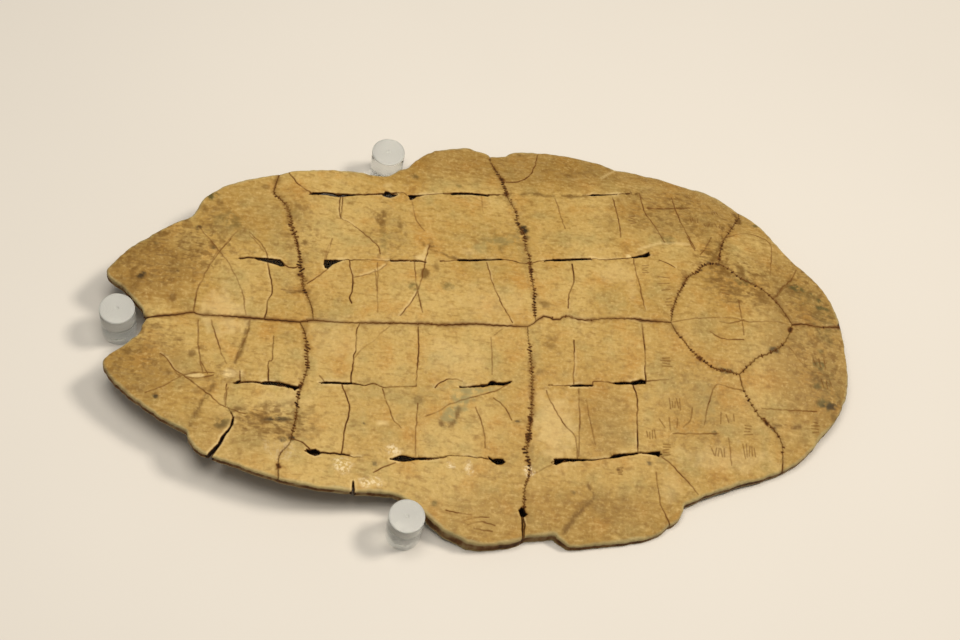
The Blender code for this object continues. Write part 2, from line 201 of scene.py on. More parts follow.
# %% Sutures, from the midline outward or from tail to head
SUTURE_PITCH = {"mid": 2.3, "xiphi": 1.1, "hyo": 1.1, "epi": 1.9}
SUTURES = {
    "mid_xiphi": (
        (-109.2, 0.5, 0.1), (-104.6, 1.1, 0.15), (-99.6, 1.6, 0.2), (-94.7, 2.6, 0.2),
        (-92.0, 1.7, 0.2), (-85.4, 1.4, 0.2), (-80.9, 1.1, 0.2), (-72.0, 0.3, 0.2), (-59.8, -0.7, 0.2),
    ),
    "mid_step_rear": (
        (-59.8, -0.7, 0.3), (-57.5, -0.2, 0.4), (-55.4, 0.1, 0.3),
    ),
    "mid_hypo": (
        (-55.4, 0.1, 0.2), (-45.0, -0.7, 0.2), (-20.0, -0.9, 0.25), (-12.5, -1.3, 0.25),
        (-1.6, -0.8, 0.25), (5.5, -1.3, 0.25), (16.0, -1.6, 0.2),
    ),
    "mid_step_front": (
        (16.0, -1.6, 0.2), (17.8, -0.6, 0.3), (19.0, 0.5, 0.2),
    ),
    "mid_hyo": (
        (19.0, 0.5, 0.2), (20.7, 1.8, 0.3), (22.5, 2.5, 0.4), (24.9, 1.4, 0.4), (27.0, 1.4, 0.4),
        (29.6, 2.7, 0.4), (32.8, 1.6, 0.35), (37.2, 1.1, 0.3), (43.0, 1.8, 0.3), (52.6, 1.8, 0.25),
        (56.0, 1.2, 0.2), (65.5, 0.5, 0.1),
    ),
    "mid_epi": (
        (109.4, 1.8, 0.1), (114.0, 2.6, 0.3), (119.3, 2.1, 0.3), (125.0, 2.8, 0.25), (128.4, 3.2, 0.1),
    ),
    "xiphi_hypo_right": (
        (-55.4, 0.1, 0.1), (-55.8, 4.5, 0.2), (-57.1, 8.9, 0.3), (-58.5, 12.5, 0.6), (-58.7, 15.6, 0.9),
        (-59.3, 20.0, 0.8), (-59.6, 24.0, 0.6), (-60.1, 27.5, 0.6), (-60.9, 32.2, 0.7),
        (-62.0, 35.5, 1.0), (-62.7, 41.0, 1.0), (-63.8, 44.7, 0.8), (-65.8, 47.4, 0.4),
        (-68.2, 50.2, 0.3), (-67.4, 54.5, 0.2), (-66.3, 58.3, 0.1),
    ),
    "xiphi_hypo_left": (
        (-59.8, -0.7, 0.1), (-58.2, -4.9, 0.4), (-57.7, -10.0, 0.7), (-57.5, -17.0, 0.7),
        (-58.6, -21.5, 0.5), (-60.1, -26.0, 0.5), (-60.9, -31.0, 0.5), (-61.3, -35.7, 0.4),
        (-62.4, -40.5, 0.4), (-63.4, -44.8, 0.3), (-66.6, -49.2, 0.2), (-66.9, -56.8, 0.1),
    ),
    "hyo_hypo_right": (
        (19.0, 0.5, 0.2), (18.9, 5.0, 0.5), (19.3, 12.5, 0.7), (19.0, 19.2, 0.6), (19.0, 26.4, 0.7),
        (18.1, 31.7, 0.8), (18.0, 37.0, 0.6), (16.2, 42.0, 0.6), (16.2, 47.2, 0.5), (14.2, 53.0, 0.6),
        (13.4, 58.0, 0.6), (12.7, 62.8, 0.6), (10.7, 68.1, 0.5), (9.4, 72.5, 0.3), (9.8, 75.2, 0.1),
    ),
    "hyo_hypo_left": (
        (16.0, -1.6, 0.2), (15.9, -6.0, 0.4), (16.2, -12.0, 0.7), (16.2, -20.0, 0.8),
        (15.6, -27.7, 0.7), (14.9, -34.8, 0.8), (13.8, -41.0, 1.0), (12.8, -46.5, 1.0),
        (13.7, -51.8, 0.6), (11.7, -58.0, 0.6), (11.2, -64.0, 0.5), (10.6, -69.0, 0.3),
        (10.4, -73.4, 0.1),
    ),
    "hyo_ento_right": (
        (65.5, 0.5, 0.1), (66.3, 3.8, 0.4), (67.2, 6.7, 0.4), (69.4, 11.6, 0.5), (71.8, 15.6, 0.5),
        (74.0, 19.3, 0.5), (78.1, 21.9, 0.6), (79.6, 24.0, 0.5), (83.0, 25.8, 0.5), (86.5, 26.0, 0.2),
    ),
    "hyo_ento_left": (
        (65.5, 0.5, 0.1), (67.0, -3.5, 0.3), (69.2, -6.6, 0.4), (71.4, -10.2, 0.4), (75.0, -13.7, 0.5),
        (78.5, -16.4, 0.5), (82.6, -17.3, 0.5), (87.3, -18.4, 0.2),
    ),
    "epi_ento_right": (
        (86.5, 26.0, 0.2), (90.3, 23.4, 0.5), (93.0, 20.2, 0.5), (97.0, 18.1, 0.5), (100.8, 15.6, 0.5),
        (103.2, 12.9, 0.4), (106.3, 8.6, 0.4), (109.4, 1.8, 0.1),
    ),
    "epi_ento_left": (
        (87.3, -18.4, 0.2), (91.4, -14.7, 0.5), (94.6, -11.9, 0.5), (98.4, -10.3, 0.5),
        (103.6, -7.3, 0.5), (106.6, -3.8, 0.4), (109.4, 1.8, 0.1),
    ),
    "epi_hyo_right": (
        (86.5, 26.0, 0.2), (88.0, 31.5, 0.4), (90.4, 37.2, 0.5), (93.4, 41.8, 0.5), (97.0, 47.3, 0.5),
        (99.6, 51.2, 0.3), (100.2, 54.6, 0.1),
    ),
    "epi_hyo_left": (
        (87.3, -18.4, 0.2), (88.2, -23.8, 0.4), (90.5, -28.8, 0.5), (93.4, -33.0, 0.5),
        (97.6, -36.5, 0.5), (100.3, -40.8, 0.4), (100.4, -46.0, 0.3), (100.1, -49.9, 0.1),
    ),
}
ZIGZAG = 0.45       # the share of a tooth that the seam itself swings; its comb gives the rest
seams, combs = {}, []
for number, (name, anchors) in enumerate(SUTURES.items()):
    middle, pitch = curve(anchors, 0.4), SUTURE_PITCH[name.split("_")[0]]
    combs += comb(middle, pitch, seed=50 + number)
    middle[:, 2] *= ZIGZAG
    seams[name] = toothed(middle, pitch, seed=number)
print(len(seams), "sutures with", len(combs), "teeth")

# %% [markdown]
# ## The rim
#
# The rim carries the outline that everyone knows from this animal: two pointed tail lobes with a
# notch between them, the bridges where the shell was sawn off, and the rounded head end. It is read
# more finely than the sutures, because each small bite and chip of it shows against the floor.

# %% The rim of each bone, from the tail forward
RIMS = {
    "xiphiplastron_right": (
        (-109.2, 0.5), (-110.4, 2.2), (-110.8, 4.0), (-112.4, 6.0), (-114.2, 8.1), (-116.2, 10.5),
        (-117.9, 12.3), (-120.4, 14.3), (-122.4, 16.3), (-122.8, 18.3), (-122.2, 19.7), (-120.4, 22.1),
        (-117.5, 25.2), (-114.8, 28.1), (-109.9, 31.7), (-105.0, 35.2), (-100.3, 38.1), (-96.5, 39.8),
        (-95.3, 41.0), (-93.8, 43.7), (-92.5, 46.8), (-89.8, 49.5), (-87.1, 51.3), (-84.9, 53.0),
        (-80.0, 54.8), (-75.1, 56.4), (-69.9, 57.6), (-66.3, 58.3)),
    "hypoplastron_right": (
        (-66.3, 58.3), (-63.4, 59.2), (-59.9, 60.0), (-55.0, 60.9), (-50.0, 61.6), (-45.0, 62.05),
        (-40.0, 62.3), (-35.0, 61.9), (-31.3, 61.4), (-27.5, 62.3), (-24.1, 65.0), (-22.3, 65.7),
        (-21.0, 66.4), (-19.2, 68.6), (-17.0, 71.3), (-13.8, 73.9), (-11.6, 75.5), (-8.9, 76.6),
        (-5.0, 77.7), (0.6, 78.9), (2.9, 78.8), (4.6, 77.7), (7.3, 77.1), (9.2, 76.2), (9.8, 75.2)),
    "hyoplastron_right": (
        (9.8, 75.2), (12.7, 75.3), (15.8, 76.0), (17.1, 77.5), (19.8, 78.5), (23.4, 78.8), (27.9, 78.9),
        (32.3, 78.7), (38.6, 78.0), (44.6, 76.6), (49.8, 75.0), (53.4, 73.1), (55.6, 71.8), (59.6, 71.6),
        (63.7, 71.0), (66.8, 70.2), (71.3, 69.7), (74.4, 68.9), (77.9, 67.5), (81.5, 66.4), (84.6, 65.3),
        (89.1, 64.4), (91.3, 63.0), (94.9, 60.8), (98.0, 57.3), (100.2, 54.6)),
    "epiplastron_right": (
        (100.2, 54.6), (101.8, 53.3), (104.3, 51.0), (106.5, 47.9), (108.4, 44.5), (112.2, 36.0),
        (116.0, 29.6), (119.8, 25.4), (123.0, 21.1), (125.6, 16.4), (127.1, 11.6), (128.1, 6.7),
        (128.4, 3.2)),
    "epiplastron_left": (
        (100.1, -49.9), (103.4, -48.3), (107.0, -46.2), (111.7, -42.2), (115.5, -37.9), (119.8, -33.6),
        (123.0, -29.3), (126.0, -23.8), (127.7, -17.9), (128.3, -10.8), (128.45, -3.2), (128.4, 3.2)),
    "hyoplastron_left": (
        (10.4, -73.4), (12.2, -72.7), (16.3, -72.6), (20.7, -72.0), (22.0, -72.9), (23.8, -74.3),
        (25.6, -75.6), (29.6, -75.6), (34.1, -75.1), (38.6, -74.7), (45.0, -74.0), (51.1, -73.0),
        (55.2, -71.6), (57.4, -70.4), (59.2, -68.8), (60.5, -68.4), (62.8, -66.6), (64.1, -64.2),
        (65.2, -62.1), (67.7, -60.8), (69.9, -59.9), (75.7, -57.7), (80.2, -56.3), (84.6, -54.8),
        (89.1, -53.7), (93.6, -52.3), (97.6, -50.8), (100.1, -49.9)),
    "hypoplastron_left": (
        (-66.9, -56.8), (-65.0, -57.4), (-59.7, -58.5), (-54.9, -59.3), (-48.2, -59.8), (-43.7, -60.0),
        (-35.0, -60.0), (-31.3, -60.2), (-27.5, -61.6), (-22.6, -64.6), (-19.6, -67.6), (-17.4, -69.4),
        (-14.7, -71.6), (-12.1, -72.7), (-8.0, -74.7), (-6.5, -75.2), (-2.0, -75.7), (2.0, -75.3),
        (5.5, -75.0), (9.1, -74.2), (10.4, -73.4)),
    "xiphiplastron_left": (
        (-109.2, 0.5), (-110.6, -2.0), (-110.9, -3.8), (-112.1, -5.8), (-114.4, -8.0), (-117.5, -10.7),
        (-120.6, -12.9), (-122.3, -15.4), (-122.0, -17.9), (-120.4, -20.5), (-118.4, -23.2),
        (-115.3, -26.3), (-112.1, -29.0), (-109.9, -30.8), (-105.0, -34.6), (-100.3, -37.5),
        (-97.2, -39.3), (-95.5, -40.4), (-95.0, -42.4), (-93.2, -45.5), (-90.7, -47.7), (-87.6, -48.9),
        (-85.4, -49.9), (-80.0, -51.9), (-75.1, -53.9), (-69.9, -55.6), (-66.9, -56.8)),
}
rims = {}
for number, (name, anchors) in enumerate(RIMS.items()):
    rims[name] = jagged(curve(anchors, 0.5), 0.7, 0.12, seed=100 + number)
rim_length = sum(np.linalg.norm(np.diff(rim, axis=0), axis=1).sum() for rim in rims.values())
print("rim of", round(rim_length), "mm")

# %% [markdown]
# ## The outline of each bone
#
# A bone's outline is a closed walk along its sutures and its piece of the rim. Both neighbours walk
# the same suture, so their teeth fit into each other, whatever the shape of the line.

# %% Close the outlines
BONES = {
    "xiphiplastron_right": ("mid_xiphi", "mid_step_rear", "xiphi_hypo_right", "rim"),
    "xiphiplastron_left": ("mid_xiphi", "xiphi_hypo_left", "rim"),
    "hypoplastron_right": ("mid_hypo", "mid_step_front", "hyo_hypo_right", "rim", "xiphi_hypo_right"),
    "hypoplastron_left": ("mid_step_rear", "mid_hypo", "hyo_hypo_left", "rim", "xiphi_hypo_left"),
    "hyoplastron_right": ("mid_hyo", "hyo_ento_right", "epi_hyo_right", "rim", "hyo_hypo_right"),
    "hyoplastron_left": ("mid_step_front", "mid_hyo", "hyo_ento_left", "epi_hyo_left", "rim",
                         "hyo_hypo_left"),
    "entoplastron": ("hyo_ento_right", "epi_ento_right", "epi_ento_left", "hyo_ento_left"),
    "epiplastron_right": ("mid_epi", "rim", "epi_hyo_right", "epi_ento_right"),
    "epiplastron_left": ("mid_epi", "rim", "epi_hyo_left", "epi_ento_left"),
}


def outline(bone):
    """The bone's closed outline, anticlockwise."""
    runs = [rims[bone] if name == "rim" else seams[name] for name in BONES[bone]]
    first, second = runs[0], runs[1]
    if min(np.linalg.norm(first[0] - end) for end in (second[0], second[-1])) < 0.01:
        runs[0] = first[::-1]
    ring, last = [runs[0][:-1]], runs[0][-1]
    for run in runs[1:]:
        if np.linalg.norm(run[0] - last) > np.linalg.norm(run[-1] - last):
            run = run[::-1]
        ring.append(run[:-1])
        last = run[-1]
    ring = np.concatenate(ring)
    ahead = np.roll(ring, -1, axis=0)
    if np.sum(ring[:, 0] * ahead[:, 1] - ahead[:, 0] * ring[:, 1]) < 0:
        ring = ring[::-1]
    return ring


outlines = {bone: outline(bone) for bone in BONES}
for bone, ring in outlines.items():
    print(f"{bone:20s} {len(ring)} outline points")

# %% [markdown]
# ## Openings and cracks
#
# The cracks run in rows, because each follows a row of hollows that was cut into the back. Where the
# pieces have shifted, a crack opens into a slot that goes right through. The finer ones are grooves
# in the surface only. They come in kinds, from an open break to a faint trace of a scale's edge.

# %% Slots that go right through, each by the corners of its outline
SLOTS = (
    ((-56.2, 50.4), (-54.9, 51.1), (-50.0, 51.6), (-46.4, 51.4), (-42.9, 51.6), (-38.8, 51.9),
     (-42.0, 51.2), (-44.4, 50.5), (-46.0, 50.3), (-50.9, 50.7), (-54.0, 50.5)),
    ((-30.6, 52.7), (-29.5, 54.3), (-28.6, 54.2), (-27.0, 53.4), (-25.4, 53.2), (-26.6, 52.2),
     (-28.1, 51.7), (-29.9, 52.1)),
    ((-21.6, 53.2), (-17.0, 53.6), (-15.2, 53.8), (-17.0, 53.0), (-18.8, 52.4), (-19.9, 51.4),
     (-20.9, 50.9), (-21.2, 52.0)),
    ((-6.5, 54.7), (-4.7, 55.2), (0.2, 55.4), (4.2, 55.2), (7.3, 54.8), (6.9, 54.3), (4.6, 54.7),
     (0.2, 55.0), (-3.8, 54.6), (-5.8, 54.2)),
    ((43.5, 56.8), (45.3, 57.6), (49.7, 57.7), (54.6, 58.3), (54.2, 57.8), (49.7, 57.1), (44.8, 56.5)),
    ((-74.6, 24.1), (-72.3, 23.9), (-69.3, 23.8), (-66.2, 23.4), (-65.3, 22.4), (-64.8, 21.1),
     (-66.1, 21.1), (-67.4, 21.6), (-69.3, 22.2), (-72.0, 23.1)),
    ((-51.4, 23.8), (-45.0, 23.9), (-48.7, 21.9), (-50.3, 20.2), (-51.2, 20.5), (-51.5, 21.8)),
    ((-5.9, 25.5), (-1.6, 25.4), (5.1, 25.7), (9.1, 25.9), (10.0, 25.5), (8.2, 25.3), (3.8, 25.0),
     (0.2, 24.6), (-5.4, 24.5), (-6.2, 24.9)),
    ((23.8, 25.4), (25.0, 25.9), (30.1, 26.1), (35.0, 26.5), (39.2, 26.7), (39.5, 26.4), (35.0, 26.0),
     (30.1, 25.5), (25.2, 25.3), (24.1, 25.0)),
    ((55.3, 27.8), (58.0, 28.6), (60.4, 29.4), (61.8, 30.2), (61.8, 28.6), (60.7, 27.8), (58.0, 27.7),
     (55.8, 27.3)),
    ((-72.4, -23.2), (-71.1, -22.8), (-69.3, -22.8), (-66.6, -23.0), (-64.8, -23.5), (-62.6, -24.1),
     (-59.9, -24.4), (-60.4, -25.1), (-61.6, -25.9), (-62.1, -25.4), (-63.5, -24.7), (-64.8, -24.1),
     (-67.1, -23.8), (-69.7, -23.7), (-71.5, -23.6)),
    ((-80.6, -23.3), (-79.9, -22.7), (-79.0, -22.3), (-78.8, -22.8), (-79.8, -23.4)),
    ((-53.3, -22.8), (-51.8, -22.5), (-47.3, -22.6), (-43.8, -22.8), (-43.2, -22.4), (-43.3, -23.3),
     (-44.6, -23.5), (-48.2, -23.3), (-50.9, -23.2), (-53.1, -23.3)),
    ((-8.1, -23.6), (-6.1, -23.9), (-1.6, -23.6), (1.1, -23.2), (2.2, -21.9), (2.9, -21.8),
     (4.6, -22.4), (7.3, -22.3), (9.3, -21.8), (7.8, -22.8), (6.4, -23.2), (5.1, -23.2), (3.8, -23.0),
     (2.0, -23.2), (0.2, -23.8), (-3.8, -24.1), (-7.9, -24.2)),
    ((28.6, -23.2), (30.2, -22.8), (31.4, -22.6), (34.1, -22.8), (36.3, -22.8), (36.2, -23.4),
     (33.2, -23.4), (30.6, -23.5), (28.9, -23.5)),
    ((43.8, -22.0), (47.1, -21.8), (49.7, -21.9), (51.1, -21.4), (52.9, -20.9), (54.6, -21.2),
     (54.4, -22.2), (52.4, -22.3), (50.6, -22.7), (48.8, -22.3), (46.6, -22.5), (44.4, -22.4)),
    ((-58.1, -46.7), (-57.1, -46.9), (-55.2, -46.6), (-54.2, -47.1), (-53.6, -47.7), (-54.1, -48.4),
     (-55.4, -48.7), (-57.0, -48.1), (-57.8, -47.6)),
    ((-31.5, -49.0), (-29.9, -48.3), (-27.7, -47.5), (-26.3, -47.7), (-25.0, -48.1), (-22.3, -48.3),
     (-17.4, -48.4), (-22.3, -48.9), (-25.0, -49.4), (-27.7, -49.7), (-29.9, -49.3)),
    ((0.2, -47.6), (1.7, -48.5), (2.9, -48.2), (5.1, -48.4), (5.8, -49.3), (4.6, -50.2), (2.9, -50.2),
     (2.0, -49.7), (1.0, -48.9)),
    ((21.8, -48.3), (24.7, -48.1), (29.6, -48.1), (34.1, -48.2), (35.4, -48.4), (34.1, -48.6),
     (29.6, -48.7), (25.2, -48.7), (23.8, -49.5), (22.3, -50.1), (21.8, -49.7), (22.1, -48.8)),
    ((40.4, -47.5), (41.7, -46.7), (43.9, -46.4), (47.5, -46.2), (49.7, -45.8), (50.0, -46.1),
     (47.5, -46.6), (44.4, -47.1), (42.1, -47.5), (40.8, -47.7)),
    ((53.0, -45.9), (54.3, -45.7), (57.4, -45.4), (57.5, -46.1), (57.0, -47.0), (56.1, -46.5),
     (54.3, -46.1)),
    ((-90.4, -50.6), (-89.0, -48.5), (-87.6, -46.9), (-85.6, -44.8), (-84.6, -42.4), (-82.8, -40.0),
     (-81.8, -38.6), (-81.5, -37.0), (-81.1, -35.4), (-80.9, -35.5), (-81.0, -37.9), (-81.9, -39.6),
     (-83.6, -42.4), (-84.6, -44.9), (-85.7, -46.5), (-87.3, -48.9), (-88.6, -51.6)),
    ((-43.6, -57.0), (-43.3, -57.0), (-43.0, -61.0), (-44.0, -61.0)),
    ((10.4, -63.8), (11.2, -64.0), (11.7, -65.3), (12.3, -66.0), (11.3, -66.6), (10.0, -66.6),
     (9.5, -64.8)),
)


SLOT_STEP = 0.5
SLOT_ROUGHNESS = 0.04


def broken_ring(corners, seed):
    """A closed outline with straight, slightly rough edges between its corners."""
    ring = np.array(corners + corners[:1])
    edges = []
    for start, end in zip(ring, ring[1:]):
        count = max(2, int(np.linalg.norm(end - start) / SLOT_STEP) + 1)
        edges.append(np.linspace(start, end, count)[:-1])
    line = np.concatenate(edges)
    return line + np.random.default_rng(seed).normal(scale=SLOT_ROUGHNESS, size=line.shape)


slots = [broken_ring(corners, seed=200 + k) for k, corners in enumerate(SLOTS)]
print(len(slots), "slots")

# %% Cracks by kind
CRACKS = {
    "break": (
        ((-88.0, -48.8), (-85.4, -45.0), (-83.6, -41.9), (-81.8, -39.2), (-81.1, -35.6),
         (-81.8, -33.8)),
        ((-55.8, 50.9), (-47.0, 51.3), (-39.3, 51.8), (-31.0, 53.1), (-26.0, 53.8), (-23.2, 54.1),
         (-21.6, 52.7), (-16.9, 53.4), (-14.7, 53.9), (-10.3, 54.3), (-6.8, 54.6), (7.8, 55.0),
         (12.8, 55.4)), ((-79.8, 23.7), (-76.0, 23.9), (-65.2, 22.0)),
        ((-51.6, 21.9), (-45.0, 23.8), (-39.3, 24.1)), ((-30.4, 24.1), (-19.6, 24.4)),
        ((-6.2, 24.8), (9.3, 25.6), (15.8, 24.1)),
        ((23.7, 25.4), (39.6, 26.4), (45.3, 26.3), (55.4, 27.3), (61.8, 28.9)),
        ((43.4, 56.7), (54.0, 58.0), (59.2, 58.8)), ((-80.9, -23.3), (-73.0, -23.0), (-61.2, -24.9)),
        ((-53.7, -22.9), (-43.4, -23.1), (-39.7, -23.7)), ((-8.1, -24.1), (8.8, -22.2)),
        ((27.0, -23.2), (36.4, -23.0)), ((43.4, -22.2), (46.0, -22.3), (54.5, -21.5)),
        ((-58.4, -47.2), (-53.9, -47.7), (-47.3, -47.9), (-43.8, -48.6), (-41.0, -48.6)),
        ((-31.4, -48.8), (-18.0, -48.6), (-10.7, -47.5), (-0.3, -48.4), (5.2, -49.6)),
        ((21.6, -49.9), (21.5, -49.1), (35.0, -48.3), (40.3, -47.5), (49.3, -46.0), (57.9, -46.3)),
        ((-43.5, -56.9), (-43.5, -60.0)), ((10.4, -66.4), (10.3, -70.0), (10.6, -72.6), (10.4, -74.2)),
        ((10.9, -66.4), (11.2, -70.0), (10.9, -72.0), (11.3, -74.2)),
    ),
    "crack": (
        ((-65.2, 22.0), (-63.5, 20.6), (-61.3, 20.3), (-60.0, 21.0)),
        ((-42.9, 23.7), (-42.6, 19.7), (-42.0, 16.8), (-42.2, 12.1), (-43.3, 8.9), (-42.6, 6.7)),
        ((-45.3, 50.3), (-45.8, 46.0), (-45.5, 41.1), (-42.9, 39.5), (-39.7, 36.8), (-35.7, 33.0),
         (-33.0, 29.5), (-32.4, 26.8)), ((-39.3, 24.1), (-30.4, 24.1)), ((-19.6, 24.4), (-17.0, 23.7)),
        ((-12.0, 24.2), (-6.2, 24.8)),
        ((55.8, 26.7), (55.8, 21.3), (56.4, 15.3), (56.7, 9.9), (57.2, 5.6)),
        ((65.0, 26.5), (67.6, 25.2), (70.0, 23.5)), ((15.8, 24.1), (18.9, 24.1), (23.7, 25.4)),
        ((-68.4, -6.3), (-68.8, -14.7), (-70.0, -15.6), (-70.0, -22.3)),
        ((-79.1, -19.2), (-79.0, -22.0)),
        ((-104.3, -12.9), (-101.9, -15.2), (-99.6, -18.8), (-96.1, -21.4), (-89.8, -26.8),
         (-84.5, -31.3), (-80.0, -33.5), (-77.3, -34.4)),
        ((-40.2, -1.1), (-41.3, -4.5), (-41.7, -9.8), (-42.2, -13.4), (-42.9, -17.9), (-43.5, -22.3)),
        ((-46.4, -23.7), (-45.5, -26.8), (-44.2, -30.4), (-44.4, -33.9), (-45.8, -39.3), (-46.4, -43.9),
         (-47.1, -47.9)),
        ((-43.5, -23.3), (-39.7, -23.7), (-36.2, -23.2), (-33.0, -24.5), (-30.4, -24.2),
         (-22.3, -23.9)),
        ((-33.3, -25.0), (-32.1, -29.5), (-31.0, -32.6), (-30.4, -35.3), (-27.7, -38.4)),
        ((-20.8, -2.2), (-21.0, -10.3), (-21.9, -18.8), (-22.3, -23.7)),
        ((-16.1, -24.3), (-14.7, -22.8), (-11.6, -21.3), (-8.9, -21.2), (-7.1, -21.9)),
        ((31.4, -6.7), (31.0, -12.9), (30.3, -19.2), (30.1, -22.5)),
        ((55.3, 0.0), (55.3, -9.8), (54.8, -15.2), (54.5, -21.7)),
        ((50.1, -22.8), (51.0, -27.6), (50.4, -34.7), (49.9, -45.5)),
        ((-62.7, -43.1), (-58.9, -44.7), (-56.7, -47.1)), ((21.6, -23.1), (27.0, -23.2)),
        ((-63.2, 59.0), (-60.1, 54.3), (-55.4, 50.9)), ((-44.6, 50.0), (-45.6, 41.0)),
        ((-70.0, 20.1), (-69.0, 13.9), (-68.8, 10.3), (-70.4, 7.2), (-70.6, 3.6), (-71.3, 0.5)),
        ((33.7, 24.1), (33.7, 18.3), (33.2, 15.2), (31.4, 11.6), (30.5, 5.8)),
        ((4.0, 24.1), (4.6, 20.6), (5.5, 14.8), (6.9, 10.3), (8.2, 6.3), (11.0, -0.1)),
        ((14.2, 61.7), (19.3, 62.4), (23.4, 66.0), (25.9, 71.6), (27.6, 77.3)),
    ),
    "fine": (
        ((63.0, 59.5), (63.4, 49.2), (65.6, 43.0), (66.8, 38.9), (68.1, 35.0)),
        ((57.7, -46.9), (61.3, -49.9), (65.0, -53.7), (67.7, -56.3), (69.7, -58.8)),
        ((55.6, -52.3), (56.1, -57.7), (56.5, -62.6), (58.3, -65.7), (59.4, -68.4)),
        ((20.7, -25.0), (21.6, -28.6), (23.8, -33.0), (26.5, -37.5), (29.2, -41.0), (29.6, -48.0)),
        ((-19.6, -34.4), (-15.2, -32.6), (-11.0, -29.9), (-4.7, -27.9), (2.0, -25.9), (8.0, -23.0)),
        ((-3.2, -31.3), (-1.6, -35.7), (-0.7, -40.2), (-0.7, -44.8)),
        ((-22.0, -30.0), (-23.0, -39.3), (-23.4, -48.0)), ((52.3, 55.9), (52.9, 44.8), (52.5, 36.5)),
        ((77.0, 38.1), (78.6, 31.6)), ((21.6, -49.9), (16.3, -52.4), (14.0, -53.3)),
        ((-37.0, -53.7), (-33.9, -51.9), (-29.9, -50.2)),
        ((36.4, -23.0), (36.8, -21.6), (40.3, -21.9), (46.0, -22.3)),
        ((-8.3, -68.5), (-3.8, -67.2), (-0.3, -67.3)), ((-7.4, -69.8), (-2.9, -68.7), (1.5, -69.8)),
        ((-5.2, -70.9), (0.6, -71.6)), ((-14.1, -65.3), (-6.0, -66.7)),
        ((-94.3, 2.7), (-94.0, 5.8), (-93.2, 11.2), (-91.6, 15.2), (-90.0, 19.7), (-85.9, 26.6),
         (-82.6, 31.2)), ((-76.5, 34.1), (-71.4, 27.8), (-69.9, 19.6)),
        ((-48.6, 32.2), (-49.8, 27.4), (-51.0, 23.7)), ((-50.3, 20.0), (-54.2, 16.3), (-57.3, 14.0)),
        ((-91.6, -15.7), (-89.3, -20.0)),
        ((-92.7, -0.4), (-92.5, -9.2), (-91.2, -17.9), (-90.8, -20.0)),
        ((-88.5, -0.3), (-85.3, -11.8), (-83.4, -16.5)), ((-83.2, -23.8), (-83.5, -31.5)),
        ((-98.2, -21.1), (-93.4, -19.8), (-87.4, -19.7)),
        ((-96.0, -21.3), (-91.9, -21.7), (-87.4, -20.6)),
        ((75.1, 58.6), (75.5, 49.1), (77.1, 40.2), (78.9, 32.4)), ((31.1, 54.2), (33.0, 39.8)),
        ((64.7, 51.7), (72.3, 52.1), (81.2, 53.6)), ((86.1, 38.6), (82.6, 32.7), (80.2, 29.6)),
        ((91.5, 39.2), (98.9, 42.3), (104.5, 41.6), (108.5, 38.3), (107.3, 31.2), (105.0, 22.6)),
        ((105.5, 13.2), (108.6, 17.4), (112.2, 20.6), (115.9, 26.4)),
        ((88.2, -24.0), (84.0, -23.4), (78.8, -22.5), (75.6, -28.4), (73.3, -36.2)),
        ((69.6, -30.6), (68.7, -34.7), (65.9, -37.3)), ((62.3, -39.5), (69.9, -39.3), (77.8, -39.0)),
        ((94.1, -29.9), (105.1, -30.0), (114.0, -29.6)), ((31.6, -24.2), (31.0, -36.0), (30.0, -47.3)),
        ((78.9, -3.0), (82.9, -5.5), (90.4, -5.5)), ((82.7, 1.2), (87.0, 0.8), (91.6, 2.3)),
        ((2.9, -27.9), (6.2, -30.7), (8.5, -35.4)),
        ((-20.8, 24.0), (-20.9, 17.0), (-20.3, 10.3), (-19.1, 3.4)),
        ((-15.2, 30.9), (-17.0, 25.0), (-17.9, 20.5), (-20.2, 12.2), (-22.8, 7.2), (-26.6, 2.1)),
    ),
    "trace": (
        ((-94.3, 2.7), (-94.0, 5.8), (-93.2, 11.2), (-91.6, 15.2), (-90.0, 19.7), (-88.0, 24.1),
         (-85.8, 27.3), (-82.7, 31.3), (-80.4, 34.4)),
        ((-76.0, 0.0), (-76.4, -3.6), (-78.0, -8.5), (-79.6, -12.1), (-80.4, -15.2)),
        ((-99.6, -19.2), (-98.8, -20.5), (-97.0, -20.5), (-91.6, -19.6), (-87.1, -19.9)),
        ((-97.0, -20.8), (-103.2, -24.6), (-108.6, -27.0)),
        ((-82.7, -25.0), (-83.8, -27.7), (-83.6, -31.3)), ((-51.3, 24.1), (-50.7, 26.8), (-49.8, 29.5)),
        ((-42.0, 16.8), (-39.3, 17.4), (-34.0, 19.5), (-30.4, 22.3)), ((-34.4, 20.1), (-33.9, 10.7)),
        ((-33.5, 23.0), (-33.9, 12.0), (-34.1, 3.2)),
        ((-20.5, 51.0), (-19.9, 45.8), (-19.2, 41.5), (-16.7, 37.0)), ((4.6, 54.8), (4.4, 45.8)),
        ((-53.6, -20.5), (-52.2, -22.3)),
        ((-42.0, -13.8), (-39.3, -10.3), (-35.7, -7.6), (-33.5, -4.9), (-30.4, -2.2)),
        ((3.3, -5.8), (3.3, -13.4), (2.9, -19.6)), ((4.6, -4.9), (7.3, -2.7)),
        ((-65.8, 11.6), (-59.5, 11.0)), ((-76.4, 33.0), (-74.6, 30.8), (-71.5, 26.4)),
        ((9.1, 25.7), (12.0, 24.8)), ((81.4, -40.4), (81.7, -44.3), (81.9, -49.1)),
        ((106.8, -7.2), (112.5, -14.6), (120.2, -16.6)), ((91.0, 10.4), (90.7, 2.2), (90.7, -3.6)),
        ((-93.4, 36.0), (-87.9, 28.4), (-85.9, 25.7), (-81.6, 18.5), (-78.5, 9.7), (-77.3, 1.8)),
        ((33.8, -27.9), (34.6, -36.0), (35.8, -43.3)),
        ((114.5, 19.5), (110.0, 17.8), (107.4, 15.2), (103.5, 12.0)), ((54.5, -21.5), (62.3, -20.9)),
